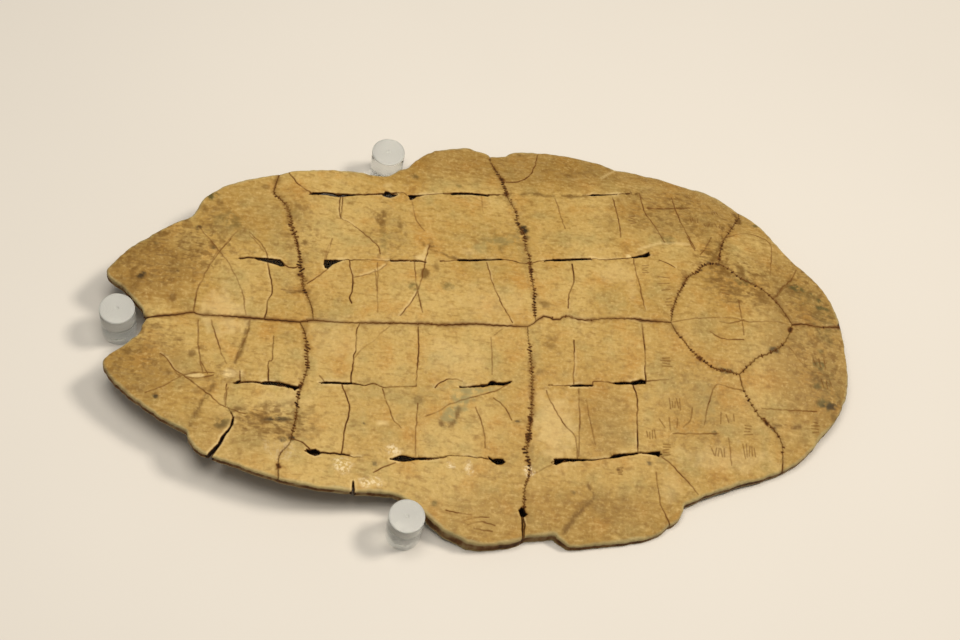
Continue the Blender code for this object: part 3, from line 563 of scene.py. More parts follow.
        ((65.5, 0.5), (72.0, 1.8), (80.0, 2.6), (88.0, 2.8), (93.0, 1.6), (101.0, 2.4), (109.4, 1.8)),
    ),
    "stained": (
        ((-14.8, -36.4), (-14.2, -37.6), (-12.4, -37.6), (-10.3, -36.0), (-9.2, -33.6), (-8.8, -31.6)),
        ((-87.1, -23.7), (-90.3, -29.5), (-92.5, -33.5), (-94.3, -38.4)),
        ((-15.0, 29.0), (-12.5, 28.1), (-9.8, 26.8), (-5.0, 25.2)),
        ((12.8, 55.4), (21.6, 55.9), (25.2, 56.3), (27.9, 55.4), (32.3, 55.6), (38.6, 55.8),
         (43.4, 56.7)), ((65.2, 51.7), (69.9, 51.7), (74.8, 52.8), (79.7, 53.5)),
        ((95.4, -34.7), (103.0, -35.8), (107.3, -35.2)), ((-65.3, 11.4), (-62.7, 10.3), (-58.5, 11.3)),
        ((-80.5, -35.6), (-75.3, -38.1), (-69.3, -37.3), (-64.9, -41.5), (-62.7, -43.1)),
        ((-79.8, -32.7), (-76.8, -34.0), (-72.3, -34.8), (-66.3, -33.1)),
        ((23.9, -71.4), (29.6, -64.7), (34.3, -60.4), (32.5, -56.6)),
        ((-75.9, -0.2), (-78.5, -10.0), (-80.7, -16.1)),
        ((-67.1, -23.0), (-62.6, -24.6), (-60.3, -25.0)), ((105.5, 13.2), (108.6, 17.4), (112.2, 20.6)),
        ((92.0, 45.5), (88.0, 33.0), (83.0, 30.0)),
    ),
    "scratch": (
        ((58.3, 31.1), (64.5, 33.8), (69.9, 34.6), (77.0, 34.4)),
        ((55.6, 71.1), (52.9, 68.9), (50.0, 66.4)), ((-39.3, 17.8), (-34.0, 20.0), (-31.0, 22.2)),
        ((-15.9, 30.5), (-18.2, 25.6), (-20.6, 24.2)), ((-20.8, 11.6), (-23.3, 7.2), (-27.0, 2.1)),
    ),
}
cracks = {}
for number, (kind, lines) in enumerate(CRACKS.items()):
    cracks[kind] = [jagged(curve(line, 0.5), 0.6, 0.13, seed=300 + 100 * number + k)
                    for k, line in enumerate(lines)]
print({kind: len(lines) for kind, lines in cracks.items()})

# %% [markdown]
# ## Stains, chips and worked marks
#
# About three thousand years in wet loess leave spots of iron brown, manganese black and a little
# green, each a soft blot with a ragged edge. Fresh chips are cream, old filler is grey and a dried
# drop of consolidant shines, helped by painted pale glints; one soft pale patch is painted sheen.
# The head half also has short rows of plain knife strokes.

# %% Blots: x, y, half length along x, half width along y and strength
BLOTS = {
    "brown": (
        (-101.4, 8.5, 2.0, 1.5, 0.6), (-71.0, 52.7, 2.2, 1.0, 0.5), (-58.5, 11.0, 1.9, 1.9, 0.9),
        (-31.5, 42.0, 1.6, 3.6, 0.75), (-25.2, 39.1, 1.1, 1.1, 0.6), (-35.5, 35.3, 1.0, 1.0, 0.6),
        (-14.7, 30.8, 2.0, 1.8, 0.85), (-17.6, 19.0, 2.1, 2.0, 0.85), (-13.6, 21.9, 1.2, 1.2, 0.5),
        (-9.4, 47.2, 1.2, 3.0, 0.35), (22.7, 7.6, 1.8, 1.5, 0.5), (20.7, 76.4, 1.5, 1.0, 0.5),
        (37.9, 66.6, 1.2, 1.0, 0.5), (44.4, 69.0, 3.4, 1.6, 0.35), (23.4, -7.4, 2.0, 2.8, 0.4),
        (18.3, -18.8, 2.0, 1.6, 0.5), (-21.9, -28.6, 2.0, 1.6, 0.5), (36.5, 55.8, 3.0, 0.8, 0.8),
        (32.0, -63.0, 4.4, 1.6, 0.3), (40.0, -63.0, 8.0, 5.0, 0.25), (-114.4, -12.1, 4.0, 1.3, 0.6),
        (-107.7, -3.1, 4.0, 1.4, 0.5), (-94.3, -12.9, 1.2, 1.0, 0.7), (-91.6, -10.5, 1.4, 0.8, 0.5),
        (-101.4, -19.6, 1.4, 1.0, 0.6), (92.0, 20.0, 6.0, 4.5, 0.35), (103.0, 11.0, 4.0, 3.0, 0.4),
        (-84.0, 37.0, 9.0, 4.0, 0.2), (-116.0, 12.0, 4.0, 4.0, 0.3), (-60.0, -38.0, 5.0, 6.0, 0.3),
        (-78.5, -33.6, 3.0, 1.4, 0.7), (-74.0, -36.0, 3.4, 1.3, 0.7), (85.0, 29.0, 3.0, 2.6, 0.6),
        (85.5, 20.0, 5.0, 7.0, 0.5), (95.0, 22.0, 5.0, 1.6, 0.5), (116.6, -17.5, 3.0, 3.0, 0.4),
        (121.5, -31.0, 2.0, 2.4, 0.5), (-66.0, -30.5, 6.0, 1.2, 0.4), (-90.0, 43.0, 6.0, 2.0, 0.5),
        (-104.7, 33.1, 4.0, 1.0, 0.5), (-99.7, 18.2, 3.2, 0.9, 0.6), (-58.3, 30.4, 1.2, 1.0, 0.7),
        (-75.0, -37.0, 4.0, 1.6, 0.5), (-84.9, -38.2, 1.8, 1.6, 0.7), (98.6, 50.0, 1.2, 3.0, 0.9),
        (95.5, 45.0, 1.2, 2.6, 0.6), (110.0, 16.0, 3.0, 1.6, 0.5), (-86.6, 45.5, 1.4, 1.6, 0.6),
        (61.0, 59.4, 1.6, 1.4, 0.9), (-63.0, -42.9, 1.2, 1.2, 0.8), (-62.0, 38.0, 2.5, 9.0, 0.3),
        (-59.0, 18.0, 2.0, 6.0, 0.3), (17.5, 33.0, 2.0, 14.0, 0.25), (88.0, 15.0, 3.0, 7.0, 0.3),
        (14.0, -42.0, 2.0, 8.0, 0.3), (-91.5, -26.0, 2.2, 1.6, 0.45),
    ),
    "dark": (
        (-112.1, 16.3, 1.3, 1.2, 0.9), (-110.8, 17.2, 0.8, 0.7, 0.8), (-93.2, 35.3, 0.8, 0.8, 0.7),
        (-107.2, 29.0, 0.7, 0.7, 0.5), (-97.9, 26.8, 0.9, 0.8, 0.5), (-99.6, 18.3, 0.7, 0.6, 0.6),
        (-88.0, 27.7, 0.7, 0.6, 0.5), (-83.6, 29.0, 0.7, 0.6, 0.5), (-74.4, 25.9, 0.7, 0.6, 0.5),
        (-75.5, 8.1, 0.8, 0.7, 0.5), (-105.4, -28.3, 0.9, 0.8, 0.9), (17.8, 37.7, 2.2, 2.9, 1.0),
        (-36.6, -50.7, 0.7, 0.6, 0.6), (43.0, -51.5, 0.7, 0.6, 0.6), (27.9, -59.1, 0.7, 0.6, 0.5),
        (53.8, -49.3, 1.2, 1.0, 0.7), (82.4, -17.4, 2.6, 1.3, 0.95), (101.4, -8.9, 1.7, 1.3, 0.8),
        (82.6, 26.4, 1.4, 0.9, 0.7), (86.0, 25.8, 1.0, 0.9, 0.7), (-84.0, 5.8, 0.4, 0.4, 0.8),
        (55.3, 1.3, 1.0, 0.7, 0.9), (128.0, 3.3, 1.2, 1.2, 1.0), (-18.5, 61.2, 1.5, 1.2, 0.6),
        (-67.8, -36.3, 3.4, 0.8, 0.9), (119.3, -27.6, 2.4, 1.2, 0.75), (-62.7, -43.1, 1.0, 0.7, 0.9),
        (-39.8, -37.1, 0.8, 0.6, 0.8), (10.5, -35.9, 1.0, 0.4, 0.8), (-65.0, -43.6, 1.0, 0.7, 0.8),
        (79.3, 22.6, 0.9, 0.7, 0.8), (72.1, 16.0, 0.8, 0.8, 0.8), (97.8, -36.7, 1.0, 0.7, 0.8),
        (76.3, -38.9, 1.0, 0.6, 0.6),
    ),
    "green": (
        (-88.5, 48.6, 2.6, 1.6, 0.9), (-21.9, 13.6, 1.8, 1.7, 0.55), (-10.3, 13.9, 1.8, 1.8, 0.5),
        (-3.0, 58.3, 1.4, 1.2, 0.4), (9.0, 33.0, 6.0, 4.0, 0.3), (-83.0, 39.0, 4.0, 3.0, 0.35),
        (-84.5, -37.5, 2.2, 2.0, 0.45), (-17.9, -63.3, 1.3, 1.2, 0.6), (113.3, 18.0, 2.6, 1.5, 0.8),
        (115.5, 17.3, 1.8, 1.4, 0.8), (122.0, 12.9, 1.0, 0.8, 0.9), (122.0, 10.2, 2.2, 1.0, 0.9),
        (123.6, 7.2, 1.2, 0.8, 0.8), (119.3, 15.9, 0.9, 0.8, 0.7), (104.6, 47.3, 1.4, 1.0, 0.7),
        (118.2, -27.1, 3.2, 2.6, 0.75), (115.5, -20.9, 1.6, 1.3, 0.6), (117.6, -13.0, 2.0, 1.6, 0.6),
        (118.4, -7.6, 1.4, 1.1, 0.6), (122.0, 4.0, 5.0, 8.0, 0.3), (70.0, 36.0, 2.0, 1.8, 0.4),
        (120.0, -20.0, 5.0, 9.0, 0.25), (94.0, 18.0, 4.0, 2.0, 0.4), (-31.0, 33.0, 1.4, 4.0, 0.3),
        (116.0, 14.0, 5.0, 5.0, 0.3),
    ),
    "cream_and_painted_sheen": (
        (-28.6, 57.0, 1.6, 0.9, 0.4), (-2.3, 28.6, 3.0, 0.9, 0.3), (23.0, -37.0, 6.5, 12.0, 0.45),
        (-84.0, 2.5, 7.0, 8.0, 0.5), (-34.0, -37.0, 2.2, 1.0, 0.7), (-18.6, 25.6, 2.2, 0.9, 0.8),
        (54.2, 27.8, 0.9, 0.7, 1.0), (-93.0, -20.8, 3.0, 0.8, 0.8), (-82.3, -20.2, 3.2, 1.7, 1.0),
        (-48.0, -8.0, 8.0, 8.0, 0.2), (5.0, 8.0, 14.0, 7.0, 0.2), (48.0, 20.0, 7.0, 4.0, 0.25),
        (41.5, 27.4, 1.6, 0.6, 0.8), (-66.0, -30.0, 7.0, 4.0, 0.3), (-10.0, -14.0, 9.0, 6.0, 0.2),
        # The long soft patch at x 80, y -47 is a painted sheen, not a chip.
        (53.5, 16.0, 1.6, 8.0, 0.25), (20.0, -33.0, 3.5, 7.0, 0.3), (80.0, -47.0, 15.0, 4.0, 0.35),
        (60.0, -57.0, 3.0, 5.0, 0.25),
    ),
    "grey": (
        (-7.3, -28.6, 3.2, 1.7, 1.0), (-10.0, -31.6, 3.2, 1.9, 1.0), (-12.4, -34.8, 2.6, 1.9, 1.0),
        (-3.0, -25.4, 6.0, 1.2, 1.0), (-9.0, -22.3, 2.5, 1.2, 0.4), (-14.5, -24.0, 3.0, 1.4, 0.4),
        (-60.0, -44.0, 3.0, 2.0, 0.35), (92.0, 19.0, 4.0, 2.0, 0.35), (72.0, 45.0, 14.0, 7.0, 0.12),
        (2.1, 30.3, 2.5, 1.6, 0.4), (9.4, 33.8, 5.0, 1.6, 0.5), (14.5, 35.7, 2.5, 1.2, 0.4),
        (75.0, -30.0, 4.0, 7.0, 0.25), (108.0, -3.0, 12.0, 7.0, 0.15),
    ),
    # Shiny consolidant: smooth, and painted with pale speckled glints.
    "gloss_and_painted_glint": (
        (-47.0, -52.0, 2.8, 2.2, 1.0), (-38.0, -57.0, 4.0, 1.4, 0.9), (-30.7, -45.5, 2.8, 2.0, 0.9),
        (-12.2, -50.7, 1.4, 1.0, 0.9), (-6.3, -52.0, 1.4, 2.2, 0.9), (13.5, -52.5, 1.6, 1.6, 0.9),
        (-66.0, -47.0, 5.0, 3.0, 0.3),
    ),
}
MOTTLED = (
    (-105.0, 28.0, 24.0, 16.0, 1.0), (-112.0, -12.0, 14.0, 14.0, 0.8), (93.0, 18.0, 14.0, 13.0, 1.0),
    (118.0, 0.0, 14.0, 34.0, 0.9), (-68.0, -37.0, 13.0, 7.0, 1.0), (-60.0, 30.0, 8.0, 20.0, 0.5),
    (75.0, 50.0, 22.0, 14.0, 0.8), (86.0, 30.0, 8.0, 8.0, 1.0), (72.0, -30.0, 14.0, 20.0, 0.4),
    (-30.0, 35.0, 8.0, 16.0, 0.5), (-88.0, -20.0, 12.0, 4.0, 0.6), (35.0, 70.0, 40.0, 6.0, 0.5),
    (0.0, 5.0, 110.0, 75.0, 0.15),
)
UMBER = (
    (-112.0, 20.0, 20.0, 17.0, 1.0), (-112.0, -20.0, 17.0, 15.0, 0.7), (116.0, 0.0, 22.0, 52.0, 0.85),
    (20.0, -68.0, 60.0, 10.0, 0.6), (-85.0, -42.0, 24.0, 10.0, 0.5), (30.0, 72.0, 95.0, 13.0, 0.9),
    (80.0, 52.0, 32.0, 18.0, 0.8), (40.0, -36.0, 9.0, 14.0, 0.6), (-75.0, 45.0, 22.0, 12.0, 0.4),
    (85.0, -5.0, 26.0, 60.0, 0.25),
)
STROKE_ROWS = (
    (63.0, 12.8, 67.6, 19.8), (79.7, 46.0, 83.0, 48.2), (84.0, 44.0, 91.6, 46.0),
    (89.0, 51.0, 91.6, 53.0), (56.6, 43.0, 59.2, 47.2), (61.5, -31.5, 66.0, -27.5),
    (58.0, -38.2, 64.8, -34.0), (60.5, -16.6, 64.0, -12.6), (86.0, -46.6, 91.0, -42.2),
    (115.0, -14.2, 120.0, -10.4), (53.0, -41.5, 56.5, -38.6), (58.0, -47.2, 61.5, -42.6),
    (78.5, -35.6, 84.5, -31.8), (86.6, -39.4, 90.0, -35.6), (75.0, -46.8, 80.2, -43.8),
    (117.0, -21.2, 121.2, -18.0), (111.5, -37.2, 114.5, -33.0), (42.5, -53.4, 44.4, -50.6),
    (64.8, 7.0, 67.0, 10.4), (58.2, 20.4, 60.4, 24.4), (72.0, 19.0, 74.0, 22.5),
    (84.9, 12.2, 88.0, 16.4),
)


def strokes(x0, y0, x1, y1, seed):
    """A few short cuts across a small field, loosely side by side and no two joined."""
    rng = np.random.default_rng(seed)
    start, end = np.array((x0, y0)), np.array((x1, y1))
    wide = x1 - x0 > y1 - y0
    step = np.array((end[0] - start[0], 0.0) if wide else (0.0, end[1] - start[1]))
    reach = np.array((0.0, end[1] - start[1]) if wide else (end[0] - start[0], 0.0))
    made = []
    for place in np.linspace(0.12, 0.88, 3 + seed % 3):
        middle = start + step * place + reach * rng.uniform(0.4, 0.6)
        half = reach * rng.uniform(0.25, 0.5) + step * rng.normal(0.0, 0.05)
        made.append(np.array((middle - half, middle + half)))
    return [even(line, 0.4) for line in made]


cuts = [line for k, field in enumerate(STROKE_ROWS) for line in strokes(*field, seed=k)]
print({kind: len(blots) for kind, blots in BLOTS.items()}, len(cuts), "strokes")

# %% [markdown]
# ## Measuring in the plan
#
# Relief and stains are all worked out the same way: for each point of the mesh, how far is it from
# the nearest line of a kind? NumPy asks that of many thousands of points at once, a few line pieces
# at a time, and leaves out points that are far away.


# %% Distance to lines, points in a ring, and soft random fields
PIECES_AT_ONCE = 24
FIELD_CELLS = 97        # a random field repeats after this many waves


def nearest(points, lines, reach, closed=False):
    """For each point the distance to the nearest line, its foot there and the line's direction."""
    away = np.full(len(points), reach)
    foot = points.copy()
    ahead = np.zeros_like(points)
    for line in lines:
        if closed:
            line = np.concatenate([line, line[:1]])
        for first in range(0, len(line) - 1, PIECES_AT_ONCE):
            part = line[first:first + PIECES_AT_ONCE + 1]
            low, high = part.min(0) - reach, part.max(0) + reach
            near = np.flatnonzero(np.all((points > low) & (points < high), 1))
            if not len(near):
                continue
            start, step = part[:-1], np.diff(part, axis=0)
            length2 = np.maximum((step ** 2).sum(1), 1e-12)
            from_start = points[near][:, None] - start
            t = np.clip((from_start * step).sum(2) / length2, 0.0, 1.0)
            feet = start + t[..., None] * step
            gaps = np.linalg.norm(points[near][:, None] - feet, axis=2)
            pick = gaps.argmin(1)
            rows = np.arange(len(near))
            better = gaps[rows, pick] < away[near]
            chosen = near[better]
            away[chosen] = gaps[rows, pick][better]
            foot[chosen] = feet[rows, pick][better]
            ahead[chosen] = (step / np.sqrt(length2)[:, None])[pick][better]
    return away, foot, ahead


def inside(points, ring):
    """Which points lie inside a closed ring."""
    found = np.zeros(len(points), bool)
    near = np.flatnonzero(np.all((points > ring.min(0)) & (points < ring.max(0)), 1))
    x, y = points[near].T
    hit = np.zeros(len(near), bool)
    for (x0, y0), (x1, y1) in zip(ring, np.roll(ring, -1, axis=0)):
        if y0 != y1:
            hit ^= ((y0 > y) != (y1 > y)) & (x < (x1 - x0) * (y - y0) / (y1 - y0) + x0)
    found[near] = hit
    return found


def swells(points, size, seed):
    """A soft random field from -1 to 1, whose waves are about `size` millimetres long."""
    grid = np.random.default_rng(seed).uniform(-1.0, 1.0, (FIELD_CELLS, FIELD_CELLS))
    place = points / size
    cell = np.floor(place).astype(int)
    t = place - cell
    t = t * t * (3 - 2 * t)
    x, y = cell[:, 0] % FIELD_CELLS, cell[:, 1] % FIELD_CELLS
    x1, y1 = (x + 1) % FIELD_CELLS, (y + 1) % FIELD_CELLS
    lower = grid[x, y] * (1 - t[:, 0]) + grid[x1, y] * t[:, 0]
    upper = grid[x, y1] * (1 - t[:, 0]) + grid[x1, y1] * t[:, 0]
    return lower * (1 - t[:, 1]) + upper * t[:, 1]


def smoothstep(value, low, high):
    """0 below `low`, 1 above `high` and a soft climb between them."""
    t = np.clip((value - low) / (high - low), 0.0, 1.0)
    return t * t * (3 - 2 * t)


def fade(value, low, high):
    """1 below `low`, 0 above `high` and a soft fall between them."""
    return 1 - smoothstep(value, low, high)


def blot_field(points, blots, seed, ragged=0.45):
    """How strongly a point is marked by soft blots with ragged edges."""
    marked = np.zeros(len(points))
    edge = swells(points, 1.6, seed) * ragged + swells(points, 4.5, seed + 1) * ragged * 0.7
    for x, y, long, wide, strength in blots:
        away = np.hypot((points[:, 0] - x) / long, (points[:, 1] - y) / wide)
        marked = np.maximum(marked, strength * fade(away + edge, 0.55, 1.35))
    return marked


# %% [markdown]
# ## The section of the plate
#
# The belly side is a low dome that falls faster toward the head, and the plate is thickest at the
# bridges. These are the same named values that the solid model has, so the fine skin lies on it.

# %% Heights of the two faces, in millimetres
REST_HEIGHT = 15.5
PLATE_THICKNESS = 4.6
BRIDGE_SWELLING = 2.4
BRIDGE_SPAN = (-20.0, 62.0)
BRIDGE_REAR_RAMP = (-45.0, -5.0)
BRIDGE_FRONT_RAMP = (45.0, 80.0)
BRIDGE_SIDE_RAMP = (35.0, 70.0)
DOME_STATIONS = (-130.0, -60.0, -30.0, 10.0, 55.0, 99.0, 130.0)
DOME_FALL = (0.0, 0.0, 0.0012, 0.0018, 0.0023, 0.0037, 0.0037)
HEAD_FALL_START = 70.0
HEAD_FALL_LENGTH = 55.0
HEAD_FALL = 6.0


def top_height(x, y):
    """Height of the belly face over the table, before any relief."""
    head = np.clip((x - HEAD_FALL_START) / HEAD_FALL_LENGTH, 0.0, None) ** 2 * HEAD_FALL
    return REST_HEIGHT - np.interp(x, DOME_STATIONS, DOME_FALL) * y * y - head


def thickness(x, y):
    """Thickness of the plate."""
    along = smoothstep(x, *BRIDGE_REAR_RAMP) * fade(x, *BRIDGE_FRONT_RAMP)
    return PLATE_THICKNESS + BRIDGE_SWELLING * along * smoothstep(abs(y), *BRIDGE_SIDE_RAMP)


print("top along the midline:", [round(float(top_height(x, 0.0)), 1) for x in (-120.0, 0.0, 125.0)])

# %% Hollows in the back: a long chiselled one with a round drilled one beside it
HOLLOW_STATIONS = (-92.0, -69.5, -48.0, -25.0, 0.5, 30.5, 50.5, 72.0)
HOLLOW_ROWS = (
    ((-60.0, 51.0), (0.0, 55.0), (52.0, 57.6), (72.0, 52.5)),
    ((-92.0, 22.5), (0.0, 25.2), (55.0, 27.6)),
    ((-92.0, -22.0), (-69.0, -23.8), (0.0, -23.6), (55.0, -21.8)),
    ((-58.0, -47.4), (0.0, -48.8), (30.0, -48.8), (52.0, -46.2), (72.0, -39.0)),
)
HOLLOW_RIM_MARGIN = 9.0
CHISEL_LENGTH = 15.0
CHISEL_WIDTH = 5.6
CHISEL_DEPTH = 3.7
DRILL_DIAMETER = 8.0
DRILL_DEPTH = 2.5
DRILL_OFFSET = 5.6


def hollow_places():
    """The middle of each chiselled hollow."""
    for row in HOLLOW_ROWS:
        along, level = zip(*row)
        for x in HOLLOW_STATIONS:
            if along[0] - HOLLOW_RIM_MARGIN <= x <= along[-1]:
                yield x, float(np.interp(x, along, level))


def bowl(dx, dy, length, width):
    """1 in the middle of an oval bowl, 0 at its edge and below 0 outside."""
    return 1 - (dx / (length / 2)) ** 2 - (dy / (width / 2)) ** 2


def hollow_depth(points):
    """Depth of the hollows at each point, and how deep in a drilled one it is, from 0 to 1."""
    depth = np.zeros(len(points))
    burnt = np.zeros(len(points))
    for x, y in hollow_places():
        dx, dy = points[:, 0] - x, points[:, 1] - y
        chisel = bowl(dx, dy, CHISEL_LENGTH, CHISEL_WIDTH)
        drill = bowl(dx, dy + math.copysign(DRILL_OFFSET, y), DRILL_DIAMETER, DRILL_DIAMETER)
        depth = np.maximum(depth, CHISEL_DEPTH * np.sqrt(np.clip(chisel, 0.0, 1.0)))
        depth = np.maximum(depth, DRILL_DEPTH * np.sqrt(np.clip(drill, 0.0, 1.0)))
        burnt = np.maximum(burnt, np.clip(drill * 1.3 + 0.25, 0.0, 1.0))
    return depth, burnt


print(len(list(hollow_places())), "hollows")

# %% [markdown]
# ## One bone as a fine skin
#
# Each bone starts as a flat grid of cells 0.7 mm wide. Cells outside the outline are deleted, and
# those along edges and cracks are halved twice, to 0.35 mm and then to about 0.18 mm. What still lies
# outside or in a slot goes too. Points of the border are then drawn onto the outline, and points
# beside a crack onto the crack, so that lines run clean. Last the sheet gets its thickness.

# %% Flat plan of a bone
COARSE = 0.7
SEAM_GAP = 0.04
NEAR_SEAM = 0.5
CONTACT_PASSES = 12
CRUMB_SHARE = 0.02
# How near a cell lies to an edge, a line and a tooth to be halved, in the first and second round
HALVED_WITHIN = ((1.5, 0.9, 1.0), (0.4, 0.4, 0.35))
drawn_lines = cracks["break"] + cracks["crack"] + cracks["fine"] + cracks["trace"] + cuts


def plan_points(bm):
    """The plan position of each point."""
    return np.array([v.co[:2] for v in bm.verts])


def face_middles(bm):
    """The plan position of the middle of each cell."""
    return np.array([f.calc_center_median()[:2] for f in bm.faces])


def in_bone(points, ring):
    """Which points lie inside the outline and in no slot."""
    keep = inside(points, ring)
    low, high = ring.min(0), ring.max(0)
    for slot in slots:
        if np.all(slot.max(0) > low) and np.all(slot.min(0) < high):
            keep &= ~inside(points, slot)
    return keep


def delete_faces(bm, drop):
    """Delete the cells that a list of yes and no names."""
    doomed = [f for f, out in zip(list(bm.faces), drop) if out]
    bmesh.ops.delete(bm, geom=doomed, context="FACES")


print("first cells", COARSE, "mm wide")

# %% Loose cells
def part_around(face):
    """The cells that are joined to one cell by edges, which are tagged on the way."""
    face.tag = True
    found, front = [face], [face]
    while front:
        for edge in front.pop().edges:
            for other in edge.link_faces:
                if not other.tag:
                    other.tag = True
                    found.append(other)
                    front.append(other)
    return found


def trim_contacts(bm):
    """Remove cells that touch the rest by a corner only, and crumbs that touch it nowhere."""
    for _ in range(CONTACT_PASSES):
        bad = [v for v in bm.verts if sum(e.is_boundary for e in v.link_edges) > 2]
        if not bad:
            break
        bmesh.ops.delete(bm, geom=list({f for v in bad for f in v.link_faces}), context="FACES")
    for face in bm.faces:
        face.tag = False
    parts = [part_around(face) for face in bm.faces if not face.tag]
    largest = max(len(part) for part in parts)
    crumbs = [f for part in parts if len(part) < largest * CRUMB_SHARE for f in part]
    if crumbs:
        bmesh.ops.delete(bm, geom=crumbs, context="FACES")


print("parts under", CRUMB_SHARE, "of the largest go")

# %% From a grid to the outline
def start_grid(ring):
    """A grid of coarse cells over the outline, without those that lie well outside it."""
    low, high = ring.min(0) - COARSE, ring.max(0) + COARSE
    count = np.ceil((high - low) / COARSE).astype(int)
    bm = bmesh.new()
    bmesh.ops.create_grid(bm, x_segments=int(count[0]), y_segments=int(count[1]), size=0.5)
    bmesh.ops.scale(bm, verts=bm.verts, vec=(*(count * COARSE), 1.0))
    bmesh.ops.translate(bm, verts=bm.verts, vec=(*(low + count * COARSE / 2), 0.0))
    middles = face_middles(bm)
    to_rim, _, _ = nearest(middles, [ring], 1.2, closed=True)
    delete_faces(bm, ~(inside(middles, ring) | (to_rim < COARSE)))
    return bm


def draw_onto_lines(bm, ring):
    """Move the border onto the outline and the slots, and points beside a line onto the line."""
    reach = COARSE / 8
    points = plan_points(bm)
    border = np.array([v.is_boundary for v in bm.verts])
    away, foot, _ = nearest(points, drawn_lines + combs, reach)
    beside = (away < reach) & ~border
    points[beside] = foot[beside]
    gap, edge_foot, ahead = nearest(points, [ring], 1.5, closed=True)
    slot_gap, slot_foot, _ = nearest(points, slots, 1.5, closed=True)
    inward = np.stack([-ahead[:, 1], ahead[:, 0]], axis=1)
    to_ring = border & (gap <= slot_gap)
    to_slot = border & (gap > slot_gap)
    to_seam, _, _ = nearest(points, list(seams.values()), 1.0)
    offset = np.where(to_seam < NEAR_SEAM, SEAM_GAP, 0.0)
    points[to_ring] = (edge_foot + inward * offset[:, None])[to_ring]
    points[to_slot] = slot_foot[to_slot]
    for vert, (x, y) in zip(bm.verts, points):
        vert.co.x, vert.co.y = x, y


def flat_bone(bone):
    """The bone's plan as a bmesh in millimetres, finer along its edges and cracks."""
    ring = outlines[bone]
    bm = start_grid(ring)
    for edge_reach, line_reach, tooth_reach in HALVED_WITHIN:
        middles = face_middles(bm)
        near = nearest(middles, [ring], edge_reach, closed=True)[0] < edge_reach
        near |= nearest(middles, slots + drawn_lines, line_reach)[0] < line_reach
        near |= nearest(middles, combs, tooth_reach)[0] < tooth_reach
        chosen = {e for f, fine in zip(bm.faces, near) if fine for e in f.edges}
        bmesh.ops.subdivide_edges(bm, edges=list(chosen), cuts=1, use_grid_fill=True)
    delete_faces(bm, ~in_bone(face_middles(bm), ring))
    trim_contacts(bm)
    draw_onto_lines(bm, ring)
    return bm


bm = flat_bone("entoplastron")
print("entoplastron in plan:", len(bm.faces), "faces")
bm.free()

# %% [markdown]
# ## Relief
#
# The belly face keeps a little of everything that happened to it: low swells of growth, the dip
# along each suture, grooves of cracks, shallow bevels where flakes came off, and the knife strokes.
# The face may only sink, never rise, because the solid model's top is the highest that the bone is.

# %% Depth and half width of each kind of line, in millimetres, and how dark the soil in it is
GROOVES = {"break": (0.5, 0.32), "crack": (0.15, 0.3), "fine": (0.09, 0.3), "trace": (0.05, 0.3),
           "stained": (0.08, 0.7), "scratch": (0.06, 0.5)}
DARKNESS = {"break": 0.82, "crack": 0.66, "fine": 0.52, "trace": 0.36}
# Where pieces have shifted, one side of the line lies this much lower, with a chipped lip this pale
SHIFTED = {"break": (0.28, 0.8), "crack": (0.12, 0.5)}
TOOTH_DEPTH = 0.14
CUT_DEPTH = 0.12
LINE_HALF_WIDTH = 0.3
RIM_RADIUS = 0.7
FAR_FROM_RIM = 9.0
middle_seams = [seams[name] for name in seams if name.startswith("mid")]


def groove(away, depth, half_width):
    """A V-shaped groove with a softly rounded lip."""
    return depth * np.clip(1 - away / half_width, 0.0, 1.0) ** 1.2


def raise_to(face, kind, amount):
    """Make a mark on the face at least this strong."""
    face[kind] = np.maximum(face[kind], amount)


print("grooves up to", max(depth for depth, _ in GROOVES.values()), "mm deep")

# %% Relief along the cracks
def crack_relief(face, points):
    """Grooves with soil in them, sides that have shifted, chipped lips, stains and scratches."""
    uneven = 0.85 + 0.4 * swells(points, 7.0, 3) + 0.25 * swells(points, 1.5, 11)
    for kind, (depth, half_width) in GROOVES.items():
        away, foot, ahead = nearest(points, cracks[kind], 4.0)
        face["sink"] += groove(away, depth, half_width)
        if kind in DARKNESS:
            raise_to(face, "soil_and_painted_shade", DARKNESS[kind] * uneven * np.clip(1.15 - away / 0.34, 0.0, 1.0))
        if kind in SHIFTED:
            drop, paleness = SHIFTED[kind]
            lower = np.cross(ahead, points - foot) * swells(foot, 17.0, 4) > 0
            face["sink"] += drop * lower * fade(away, 0.0, 5.0)
            lip = fade(away, 0.3, 1.1) * smoothstep(swells(foot, 6.0, 5), 0.0, 0.6) * lower
            face["sink"] += 0.7 * drop * lip
            raise_to(face, "pale", paleness * lip)
        if kind == "stained":
            face["stained"] = fade(away + 0.4 * swells(foot, 2.5, 18), 0.1, 1.1)
        if kind == "scratch":
            raise_to(face, "pale", 0.6 * fade(away, 0.1, 0.8))


print("soil in the lines:", DARKNESS)

